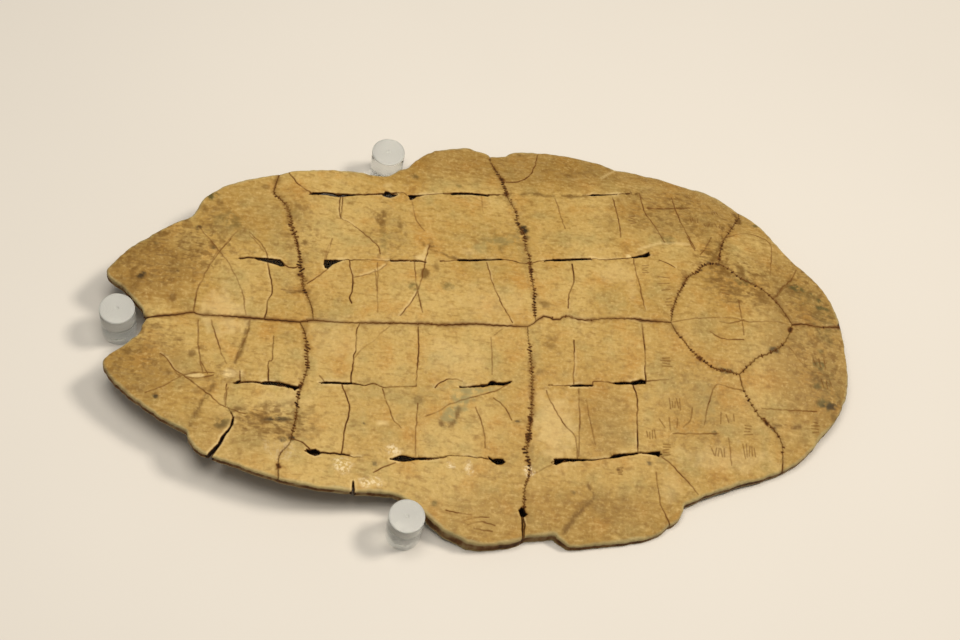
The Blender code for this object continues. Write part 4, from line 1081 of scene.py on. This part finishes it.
# %% Relief along the sutures
def seam_relief(face, points, seam_lines, to_middle):
    """The dip along the sutures, with patches and knots of soil and the gaps between the teeth."""
    away, foot, _ = nearest(points, seam_lines, 4.0)
    face["sink"] += 0.15 * fade(away, 0.0, 0.3) + 0.12 * fade(away, 0.0, 2.5)
    face["seam"] = fade(away, 0.3, 1.8) * (0.5 + 0.6 * swells(foot, 9.0, 7))
    patchy = 0.7 + 0.4 * swells(foot, 5.0, 6) + 0.35 * swells(foot, 1.6, 12)
    raise_to(face, "soil_and_painted_shade", 0.52 * patchy * fade(away, 0.1, 0.5))
    knot = smoothstep(swells(foot, 3.5, 17), 0.4, 0.8) * smoothstep(to_middle, 0.5, 1.5)
    raise_to(face, "soil_and_painted_shade", 0.75 * knot * fade(away + 0.4 * swells(points, 1.0, 19), 0.2, 1.0))
    to_tooth, tooth_foot, _ = nearest(points, combs, 1.0)
    face["sink"] += groove(to_tooth, TOOTH_DEPTH, LINE_HALF_WIDTH)
    stroke = 0.62 + 0.3 * swells(tooth_foot, 5.0, 13) + 0.4 * swells(tooth_foot, 1.1, 14)
    raise_to(face, "soil_and_painted_shade", np.clip(stroke, 0.15, 1.0) * fade(to_tooth, 0.12, 0.46))


def midline_marks(face, to_middle, middle_foot):
    """The midline is a wide brown line with a dark core, and pale along one edge in places."""
    wide = 1.05 + 0.5 * swells(middle_foot, 3.0, 15)
    line = (0.8 + 0.3 * swells(middle_foot, 8.0, 16)) * fade(to_middle / wide, 0.1, 0.9)
    raise_to(face, "soil_and_painted_shade", 0.5 * line)
    raise_to(face, "soil_and_painted_shade", 0.75 * line * fade(to_middle, 0.1, 0.5))
    edge = fade(to_middle, 0.5, 1.5) * smoothstep(swells(middle_foot, 7.0, 9), -0.2, 0.5)
    raise_to(face, "pale", 0.45 * edge)


print(len(middle_seams), "parts of the midline")

# %% Relief of the strokes, the slots and the rim
def cut_relief(face, points):
    """The knife strokes, and the rounded, chipped edges of the slots, with painted shade at their brink."""
    to_cut, _, _ = nearest(points, cuts, 1.0)
    face["sink"] += groove(to_cut, CUT_DEPTH, LINE_HALF_WIDTH)
    raise_to(face, "soil_and_painted_shade", 0.36 * np.clip(1.1 - to_cut / 0.36, 0.0, 1.0))
    to_slot, slot_foot, _ = nearest(points, slots, 2.0, closed=True)
    face["sink"] += 0.3 * fade(to_slot, 0.0, 0.4)
    # The brink of each slot is painted dark, as shade, so that the slot reads black.
    raise_to(face, "soil_and_painted_shade", 0.75 * fade(to_slot, 0.0, 0.26))
    lip = fade(to_slot, 0.3, 1.2) * smoothstep(swells(slot_foot, 5.0, 10), -0.1, 0.5)
    raise_to(face, "pale", 0.7 * lip)


def distance_to_rim(points, rim_lines, reach):
    """Distance to the rim, which the bone in the middle of the head end doesn't have."""
    return nearest(points, rim_lines, reach)[0] if rim_lines else np.full(len(points), reach)


def rim_relief(face, points, rim_lines):
    """The rounded rim, a little lower than the plate, with a pale band: partly wear, partly painted
    highlight.
    """
    to_rim = distance_to_rim(points, rim_lines, FAR_FROM_RIM)
    round_off = np.clip(RIM_RADIUS - to_rim, 0.0, RIM_RADIUS)
    face["sink"] += RIM_RADIUS - np.sqrt(np.maximum(RIM_RADIUS ** 2 - round_off ** 2, 0.0))
    face["sink"] += 0.2 * fade(to_rim, 0.0, 4.0)
    # The pale band along the rim is partly wear and partly a painted highlight of the rounded edge.
    face["rim"] = fade(to_rim + 0.4 * swells(points, 6.0, 8), 0.3, 1.1)


print("rim rounded to", RIM_RADIUS, "mm")

# %% The whole relief
def relief(points, seam_lines, rim_lines):
    """How far the belly face sinks at each point, and the marks on it, by name."""
    face = {"sink": 0.16 + 0.1 * swells(points, 26.0, 1) + 0.05 * swells(points, 7.0, 2),
            "soil_and_painted_shade": np.zeros(len(points)), "pale": np.zeros(len(points))}
    crack_relief(face, points)
    to_middle, middle_foot, _ = nearest(points, middle_seams, 2.0)
    seam_relief(face, points, seam_lines, to_middle)
    midline_marks(face, to_middle, middle_foot)
    cut_relief(face, points)
    rim_relief(face, points, rim_lines)
    face["sink"] = np.maximum(face["sink"], 0.0)
    face["soil_and_painted_shade"] = np.clip(face["soil_and_painted_shade"], 0.0, 1.0)
    return face


probe = relief(np.array(((-50.0, 10.0), (40.0, -5.0))), middle_seams, [])
print("two places on the plate sink by", probe["sink"].round(2), "mm")

# %% [markdown]
# ## From a flat sheet to a bone
#
# One operator, extrude_face_region, gives the sheet its second face and its walls. The walls are cut
# into rows, and then every point is set between the two faces. On the underside the surface takes
# the hollows, and where the bridges would reach below the table they are sawn flat.

# %% Thickness and heights
WALL_CUTS = 3
UNDER_ROUNDING = 0.9
MOST_SUNK = 0.6         # relief takes at most this share of the plate
THINNEST = 0.7


def thicken(bm):
    """Extrude the sheet down to a depth of 1 and cut its walls into rows."""
    made = bmesh.ops.extrude_face_region(bm, geom=bm.faces[:], use_keep_orig=True)
    below = [v for v in made["geom"] if isinstance(v, bmesh.types.BMVert)]
    bmesh.ops.translate(bm, verts=below, vec=(0.0, 0.0, -1.0))
    upright = [e for e in bm.edges if abs(e.verts[0].co.z - e.verts[1].co.z) > 0.5]
    bmesh.ops.subdivide_edges(bm, edges=upright, cuts=WALL_CUTS)
    bmesh.ops.recalc_face_normals(bm, faces=bm.faces)


def heights(points, deep, sink, hollow, rim_lines):
    """Height of each point between the belly face and the underside, by its depth from 0 to 1."""
    x, y = points.T
    top = top_height(x, y)
    base = np.maximum(top - thickness(x, y), 0.0)
    face_top = top - np.minimum(sink, MOST_SUNK * (top - base))
    under = base + 0.1 + 0.12 * swells(points, 8.0, 20) + 0.08 * swells(points, 2.5, 21)
    under = np.where(base > 0.0, np.maximum(under, 0.0), 0.0)
    to_rim = distance_to_rim(points, rim_lines, 2.0)
    sawn = (x > BRIDGE_SPAN[0]) & (x < BRIDGE_SPAN[1])
    under += hollow + np.where(sawn, 0.0, UNDER_ROUNDING * fade(to_rim, 0.0, UNDER_ROUNDING))
    under = np.clip(under, 0.0, face_top - np.minimum(THINNEST, MOST_SUNK * (face_top - base)))
    return face_top + (under - face_top) * deep


print("walls in", WALL_CUTS + 1, "rows")

# %% The marks that the material reads
TINTS = ("soil_and_painted_shade", "brown", "dark", "green", "cream_and_painted_sheen", "grey", "gloss_and_painted_glint", "umber", "mottle", "rim", "burnt")


def tint_fields(points, deep, wall, face, burnt):
    """The strength of each tint at each point, by name."""
    on_top = np.clip(1 - deep * 1.6, 0.0, 1.0)
    fields = {}
    for k, (kind, blots) in enumerate(BLOTS.items()):
        fields[kind] = blot_field(points, blots, 40 + 3 * k) * on_top
    # Walls get painted shade: slot walls nearly black and outer walls a patchy dark brown, standing in for
    # the shadow beneath the rim.
    in_slot = nearest(points, slots, 0.8, closed=True)[0] < 0.6
    wall_painted_shade = 0.52 + 0.22 * swells(points + deep[:, None] * 5.0, 4.0, 23) + 0.12 * swells(points, 1.2, 24)
    fields["soil_and_painted_shade"] = np.maximum(face["soil_and_painted_shade"] * np.where(deep < 0.99, 1.0, 0.6),
                                np.where(wall, np.where(in_slot, 0.95, wall_painted_shade), 0.0))
    raise_to(fields, "brown", 0.75 * face["stained"] * on_top)
    raise_to(fields, "brown", 0.55 * np.clip(face["seam"], 0.0, 1.0) * on_top)
    raise_to(fields, "cream_and_painted_sheen", face["pale"] * on_top)
    fields["mottle"] = blot_field(points, MOTTLED, 80, ragged=0.25)
    fields["umber"] = blot_field(points, UMBER, 84, ragged=0.2)
    # The lower walls and the underside are painted darker brown, as shade.
    raise_to(fields, "umber", np.where(deep > 0.5, 0.7, 0.0))
    fields["rim"] = face["rim"]
    fields["burnt"] = burnt * (deep > 0.9)
    return fields


print(len(TINTS), "tints")

# %% Build the bones
def bone_mesh(bone):
    """The finished mesh of one bone, in place, with its marks as attributes."""
    bm = flat_bone(bone)
    thicken(bm)
    bmesh.ops.triangulate(bm, faces=bm.faces)
    mesh = bpy.data.meshes.new(bone + "_skin")
    bm.to_mesh(mesh)
    bm.free()
    co = np.zeros(len(mesh.vertices) * 3)
    mesh.vertices.foreach_get("co", co)
    co = co.reshape(-1, 3)
    points, deep = co[:, :2], -co[:, 2]
    wall = (deep > 0.01) & (deep < 0.99)

    seam_lines = [seams[name] for name in BONES[bone] if name != "rim"]
    rim_lines = [rims[bone]] if "rim" in BONES[bone] else []
    face = relief(points, seam_lines, rim_lines)
    hollow, burnt = hollow_depth(points)
    co[:, 2] = heights(points, deep, face["sink"], hollow, rim_lines)
    rough = 0.1 * swells(points * 3.0 + deep[:, None] * 7.0, 1.4, 22)
    co[wall, :2] += rough[wall, None]
    fields = tint_fields(points, deep, wall, face, burnt)
    for name in TINTS:
        layer = mesh.attributes.new(name, "FLOAT", "POINT")
        layer.data.foreach_set("value", np.clip(fields[name], 0.0, 1.0).astype(np.float32))

    co[:, :2] -= ORIGIN
    co = np.clip(co * MM, cad_box[0], cad_box[1])
    mesh.vertices.foreach_set("co", co.ravel())
    mesh.shade_smooth()
    mesh.set_sharp_from_angle(angle=math.radians(55))
    mesh.update()
    return mesh


bones = {}
for bone in BONES:
    skin = bpy.data.objects.new(bone + "_skin", bone_mesh(bone))
    bpy.context.scene.collection.objects.link(skin)
    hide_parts(bone)
    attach(skin, "root")
    bones[bone] = skin
    print(f"{bone:20s} {len(skin.data.polygons):7d} triangles")
print("bones together:", sum(len(b.data.polygons) for b in bones.values()), "triangles")

# %% [markdown]
# ## Nodes and colours
#
# A material is a small tree of nodes. One function adds a node with its settings and links, and one
# turns the hex colours that a painter would note down into the linear values that Blender works in.


# %% Two helpers for materials
def colour(code):
    """An sRGB hex colour as linear red, green, blue and alpha."""
    parts = [int(code[k:k + 2], 16) / 255 for k in (1, 3, 5)]
    return (*[c / 12.92 if c <= 0.04045 else ((c + 0.055) / 1.055) ** 2.4 for c in parts], 1.0)


def add(tree, kind, inputs=None, **settings):
    """Add a node. Settings are its own properties; inputs are values or the sockets that feed them."""
    made = tree.nodes.new(kind)
    for name, value in settings.items():
        setattr(made, name, value)
    for name, value in (inputs or {}).items():
        if isinstance(value, bpy.types.NodeSocket):
            tree.links.new(value, made.inputs[name])
        else:
            made.inputs[name].default_value = value
    return made


def start_material(name):
    """A new material with its tree and its shader."""
    made = bpy.data.materials.new(name)
    made.use_nodes = True
    return made, made.node_tree, made.node_tree.nodes["Principled BSDF"]


print("tan", [round(c, 3) for c in colour("#C8A05C")])

# %% [markdown]
# ## Old turtle bone, scraped and handled
#
# Fresh turtle bone is ivory. This one has gone ochre in the ground, in soft clouds a few centimetres
# wide, with here and there an orange or a grey-green breath. Scraping with a blade left short dabs,
# three or four millimetres long and a little slanted, and the fine grain of the bone between them.
# The patterns below are stated by their real size: a noise of scale 1/25 has clouds of about 25 mm.

# %% Bone material: patterns
SLANT = math.radians(-8)
DAB_SIZE = (0.0034, 0.0012, 0.003)
bone_finish, tree, shader = start_material("turtle_bone_scraped")
place = add(tree, "ShaderNodeTexCoord").outputs["Object"]
mm = add(tree, "ShaderNodeMapping", {"Vector": place, "Scale": (1000.0, 1000.0, 1000.0)}).outputs[0]
slanted = add(tree, "ShaderNodeMapping", {"Vector": place, "Rotation": (0.0, 0.0, SLANT), "Scale": DAB_SIZE},
              vector_type="TEXTURE").outputs[0]
mark = {name: add(tree, "ShaderNodeAttribute", attribute_name=name).outputs["Fac"] for name in TINTS}

# %% Noises by the vector that they read, the size of their features in it and their detail
NOISES = {
    "clouds": (mm, 25.0, 4.0),
    "blotches": (mm, 9.0, 5.0),
    "dabs": (slanted, 1.0, 3.0),
    "specks": (mm, 2.4, 4.0),
    "grain": (mm, 1.0, 4.0),
}
pattern = {}
for name, (vector, size, detail) in NOISES.items():
    inputs = {"Vector": vector, "Scale": 1 / size, "Detail": detail}
    pattern[name] = add(tree, "ShaderNodeTexNoise", inputs).outputs["Fac"]
pattern["soil_and_painted_shade"] = mark["soil_and_painted_shade"]
print("bone patterns:", len(tree.nodes), "nodes")

# %% Colours laid over each other: hex, the mark it follows, the pattern that breaks it up, between
# which values of that pattern it comes in, and how much of it there is
COATS = (
    ("#AB8B48", None, "clouds", 0.38, 0.62, 1.0),       # slow clouds of a deeper ochre
    ("#9D8C55", None, "blotches", 0.52, 0.68, 0.6),     # grey-green breath
    ("#AE7F36", None, "blotches", 0.47, 0.3, 0.6),      # orange breath
    ("#7E5B1E", "umber", None, 0.0, 1.0, 0.6),          # browner toward the rim, and painted shade on the lower walls and underside
    ("#CFB272", None, "dabs", 0.52, 0.7, 0.4),          # scraped dabs, light
    ("#7F5D24", None, "dabs", 0.47, 0.3, 0.46),         # scraped dabs, dark
    ("#7B5824", None, "specks", 0.55, 0.75, 0.42),      # fine dark specks
    ("#7D5A28", None, "grain", 0.54, 0.7, 0.28),        # grain of the bone, dark
    ("#D8BD80", None, "grain", 0.46, 0.3, 0.28),        # grain of the bone, light
    ("#A39F78", "rim", None, 0.0, 1.0, 0.45),           # the pale rim: partly worn, partly a painted highlight of the edge
    ("#DEC68C", "cream_and_painted_sheen", None, 0.0, 1.0, 0.7),          # fresh chips and pale lips, and one painted sheen
    ("#8F8658", "grey", "specks", 0.34, 0.5, 0.8),      # old filler
    ("#EAD9AE", "gloss_and_painted_glint", "grain", 0.44, 0.58, 0.7),     # painted pale glints on dried consolidant
    ("#6A4A16", "mottle", "dabs", 0.5, 0.62, 0.7),      # soil in the scraped dabs
    ("#6A4A16", "mottle", "specks", 0.5, 0.62, 0.55),   # soil in specks
    ("#624413", "brown", "specks", 0.34, 0.5, 1.0),     # iron
    ("#46431D", "green", "specks", 0.34, 0.5, 1.0),     # mineral green
    ("#2E220C", "dark", "specks", 0.34, 0.5, 1.0),      # manganese
    ("#2E2013", "burnt", None, 0.0, 1.0, 0.85),         # scorched hollows in the back
    ("#653E10", None, "soil_and_painted_shade", 0.02, 0.55, 1.0),         # soil in the lines, brown where thin; also painted shade on the walls
    ("#1E1206", None, "soil_and_painted_shade", 0.5, 0.9, 0.95),          # nearly black where soil is deep, and painted shade in the slots
)
skin = colour("#BA9E5D")
for tint, mark_name, pattern_name, low, high, most in COATS:
    amount = most
    if pattern_name:
        inputs = {"Value": pattern[pattern_name], "From Min": low, "From Max": high, "To Max": most}
        amount = add(tree, "ShaderNodeMapRange", inputs).outputs[0]
    if mark_name:
        inputs = {0: amount, 1: mark[mark_name]}
        amount = add(tree, "ShaderNodeMath", inputs, operation="MULTIPLY").outputs[0]
    skin = add(tree, "ShaderNodeMix", {0: amount, 6: skin, 7: colour(tint)}, data_type="RGBA").outputs[2]
tree.links.new(skin, shader.inputs["Base Color"])
print("bone colours:", len(tree.nodes), "nodes")

# %% [markdown]
# ## Gloss and fine relief of the bone
#
# Handled bone has a low, broken sheen. It is dullest where soil fills a groove, and a dried drop of
# consolidant is as smooth as varnish. Three bumps in a row, each far finer than the mesh, give the
# scraped dabs, the grain and the specks their touch of light and shade.

# %% Gloss and fine relief
BUMPS = (("dabs", 0.4, 0.0004), ("grain", 0.3, 0.0002), ("specks", 0.3, 0.0005))
inputs = {"Value": pattern["dabs"], "To Min": 0.5, "To Max": 0.7}
dull = add(tree, "ShaderNodeMapRange", inputs).outputs[0]
soiled = add(tree, "ShaderNodeMix", {0: mark["soil_and_painted_shade"], 2: dull, 3: 1.0}).outputs[0]
wet = add(tree, "ShaderNodeMix", {0: mark["gloss_and_painted_glint"], 2: soiled, 3: 0.2}).outputs[0]
tree.links.new(wet, shader.inputs["Roughness"])
normal = None
for name, strength, distance in BUMPS:
    inputs = {"Height": pattern[name], "Strength": strength, "Distance": distance}
    if normal:
        inputs["Normal"] = normal
    normal = add(tree, "ShaderNodeBump", inputs).outputs[0]
tree.links.new(normal, shader.inputs["Normal"])
shader.inputs["IOR"].default_value = 1.5
shader.inputs["Specular IOR Level"].default_value = 0.22
for bone in bones.values():
    bone.data.materials.append(bone_finish)
print("bone material:", len(tree.nodes), "nodes")

# %% [markdown]
# ## The acrylic rods
#
# Three short rods stand at the notch of the tail and at both flanks, and keep the bone from sliding.
# A lathe faced their ends, so the ends are frosted with fine rings round a small centre mark, while
# the bodies are as clear as glass. Acrylic bends light a little less than glass, at an IOR of 1.49.

# %% Rod materials
RING_SPACING = 0.45
ACRYLIC = (
    ("clear_acrylic_polished", "#F4F6F4", 1.0, 0.03),
    ("clear_acrylic_turned", "#EEF0EC", 0.6, 0.5),
)
acrylics = []
for name, tint, transmission, roughness in ACRYLIC:
    finish, tree, shader = start_material(name)
    shader.inputs["Base Color"].default_value = colour(tint)
    shader.inputs["Transmission Weight"].default_value = transmission
    shader.inputs["Roughness"].default_value = roughness
    shader.inputs["IOR"].default_value = 1.49
    acrylics.append(finish)

# The turned rings go onto the last of the two, by the distance from the rod's axis in millimetres.
from_axis = add(tree, "ShaderNodeAttribute", attribute_name="from_axis").outputs["Vector"]
radius = add(tree, "ShaderNodeVectorMath", {0: from_axis}, operation="LENGTH").outputs["Value"]
inputs = {0: radius, 1: 2 * math.pi / RING_SPACING}
rings = add(tree, "ShaderNodeMath", inputs, operation="MULTIPLY").outputs[0]
wave = add(tree, "ShaderNodeMath", {0: rings}, operation="SINE").outputs[0]
faced = add(tree, "ShaderNodeBump", {"Height": wave, "Strength": 0.35, "Distance": 0.00005}).outputs[0]
tree.links.new(faced, shader.inputs["Normal"])
print("rod materials:", [finish.name for finish in acrylics])

# %% Rods
ROD_RADIUS = 5.75
ROD_HEIGHT = 14.5
ROD_CHAMFER = 0.4
# The insets that face an end from its edge to the centre mark: width and rise in millimetres
FACING = ((0.9, -0.02), (0.9, 0.0), (0.9, 0.015), (0.9, -0.015), (1.0, 0.0), (0.35, -0.25))
RODS = {
    "support_peg_tail": (-118.9, 4.2),
    "support_peg_left": (-27.1, -69.4),
    "support_peg_right": (-28.1, 69.1),
}


def rod_mesh(name, x, y):
    """A rod from one circle: extruded up, its edges chamfered and its end faced in rings."""
    bm = bmesh.new()
    bmesh.ops.create_circle(bm, cap_ends=True, segments=96, radius=ROD_RADIUS)
    grown = bmesh.ops.extrude_face_region(bm, geom=bm.faces[:], use_keep_orig=True)
    lifted = [v for v in grown["geom"] if isinstance(v, bmesh.types.BMVert)]
    bmesh.ops.translate(bm, verts=lifted, vec=(0.0, 0.0, ROD_HEIGHT))
    bmesh.ops.recalc_face_normals(bm, faces=bm.faces)
    level = [e for e in bm.edges if abs(e.verts[0].co.z - e.verts[1].co.z) < 1e-6]
    bmesh.ops.bevel(bm, geom=level, offset=ROD_CHAMFER, segments=3, profile=0.5, affect="EDGES",
                    clamp_overlap=True, material=-1)
    for face in bm.faces:
        face.material_index = int(abs(face.normal.z) > 0.2)
    for face in [f for f in bm.faces if len(f.verts) > 4]:
        for width, rise in FACING:
            bmesh.ops.inset_region(bm, faces=[face], thickness=width, depth=rise)
    for face in bm.faces:
        face.smooth = True
    bmesh.ops.translate(bm, verts=bm.verts, vec=(x - ORIGIN[0], y - ORIGIN[1], 0.0))
    bmesh.ops.scale(bm, verts=bm.verts, vec=(MM, MM, MM))
    mesh = bpy.data.meshes.new(name)
    bm.to_mesh(mesh)
    bm.free()
    mesh.set_sharp_from_angle(angle=math.radians(30))
    layer = mesh.attributes.new("from_axis", "FLOAT_VECTOR", "POINT")
    for vert, item in zip(mesh.vertices, layer.data):
        item.vector = (vert.co.x / MM + ORIGIN[0] - x, vert.co.y / MM + ORIGIN[1] - y, 0.0)
    return mesh


for node_name, (x, y) in RODS.items():
    rod = bpy.data.objects.new(node_name + "_rod", rod_mesh(node_name + "_rod", x, y))
    bpy.context.scene.collection.objects.link(rod)
    for finish in acrylics:
        rod.data.materials.append(finish)
    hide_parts(node_name)
    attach(rod, "root")
    print(rod.name, len(rod.data.polygons), "faces")

# %% [markdown]
# ## Floor and light
#
# The floor is plain, pale and matt, so that nothing takes the eye off the bone. The light is what a
# studio would use: one soft lamp high on the head side, whose shadows fall toward the tail, a weaker
# one overhead that makes the middle the brightest place, and an even surround.

# %% Floor
floor_finish, tree, shader = start_material("matt_pale_board")
place = add(tree, "ShaderNodeTexCoord").outputs["Object"]
fleck = add(tree, "ShaderNodeTexNoise", {"Vector": place, "Scale": 6.0, "Detail": 3.0}).outputs["Fac"]
inputs = {0: fleck, 6: colour("#D9D6CF"), 7: colour("#D2CFC8")}
board = add(tree, "ShaderNodeMix", inputs, data_type="RGBA").outputs[2]
tree.links.new(board, shader.inputs["Base Color"])
shader.inputs["Roughness"].default_value = 0.85

bm = bmesh.new()
bmesh.ops.create_grid(bm, x_segments=8, y_segments=8, size=2.0)
floor_mesh = bpy.data.meshes.new("floor")
bm.to_mesh(floor_mesh)
bm.free()
floor_mesh.materials.append(floor_finish)
floor = bpy.data.objects.new("floor", floor_mesh)
bpy.context.scene.collection.objects.link(floor)
print("floor at z", floor.location.z)

# %% Light
def lamp(name, place, size, watts, tint):
    """A square area lamp aimed at the middle of the bone."""
    data = bpy.data.lights.new(name, "AREA")
    data.size = size
    data.energy = watts
    data.color = colour(tint)[:3]
    made = bpy.data.objects.new(name, data)
    made.location = place
    made.rotation_euler = (-Vector(place)).to_track_quat("-Z", "Y").to_euler()
    bpy.context.scene.collection.objects.link(made)


lamp("key", (0.80, 0.12, 1.15), 0.30, 12.3, "#FFF3E4")
lamp("overhead", (-0.07, -0.03, 0.60), 0.30, 2.4, "#FFF6EA")
world = bpy.data.worlds.new("surround")
world.use_nodes = True
world.node_tree.nodes["Background"].inputs["Color"].default_value = colour("#F2F0EC")
world.node_tree.nodes["Background"].inputs["Strength"].default_value = 0.22
bpy.context.scene.world = world

# %% [markdown]
# ## The box of the solid model
#
# The finished skins are clipped to the box of the solid model, and that box is written down.

# %% Print the solid model's box
print("CAD box   ", [[round(c * 1000, 2) for c in corner] for corner in cad_box])
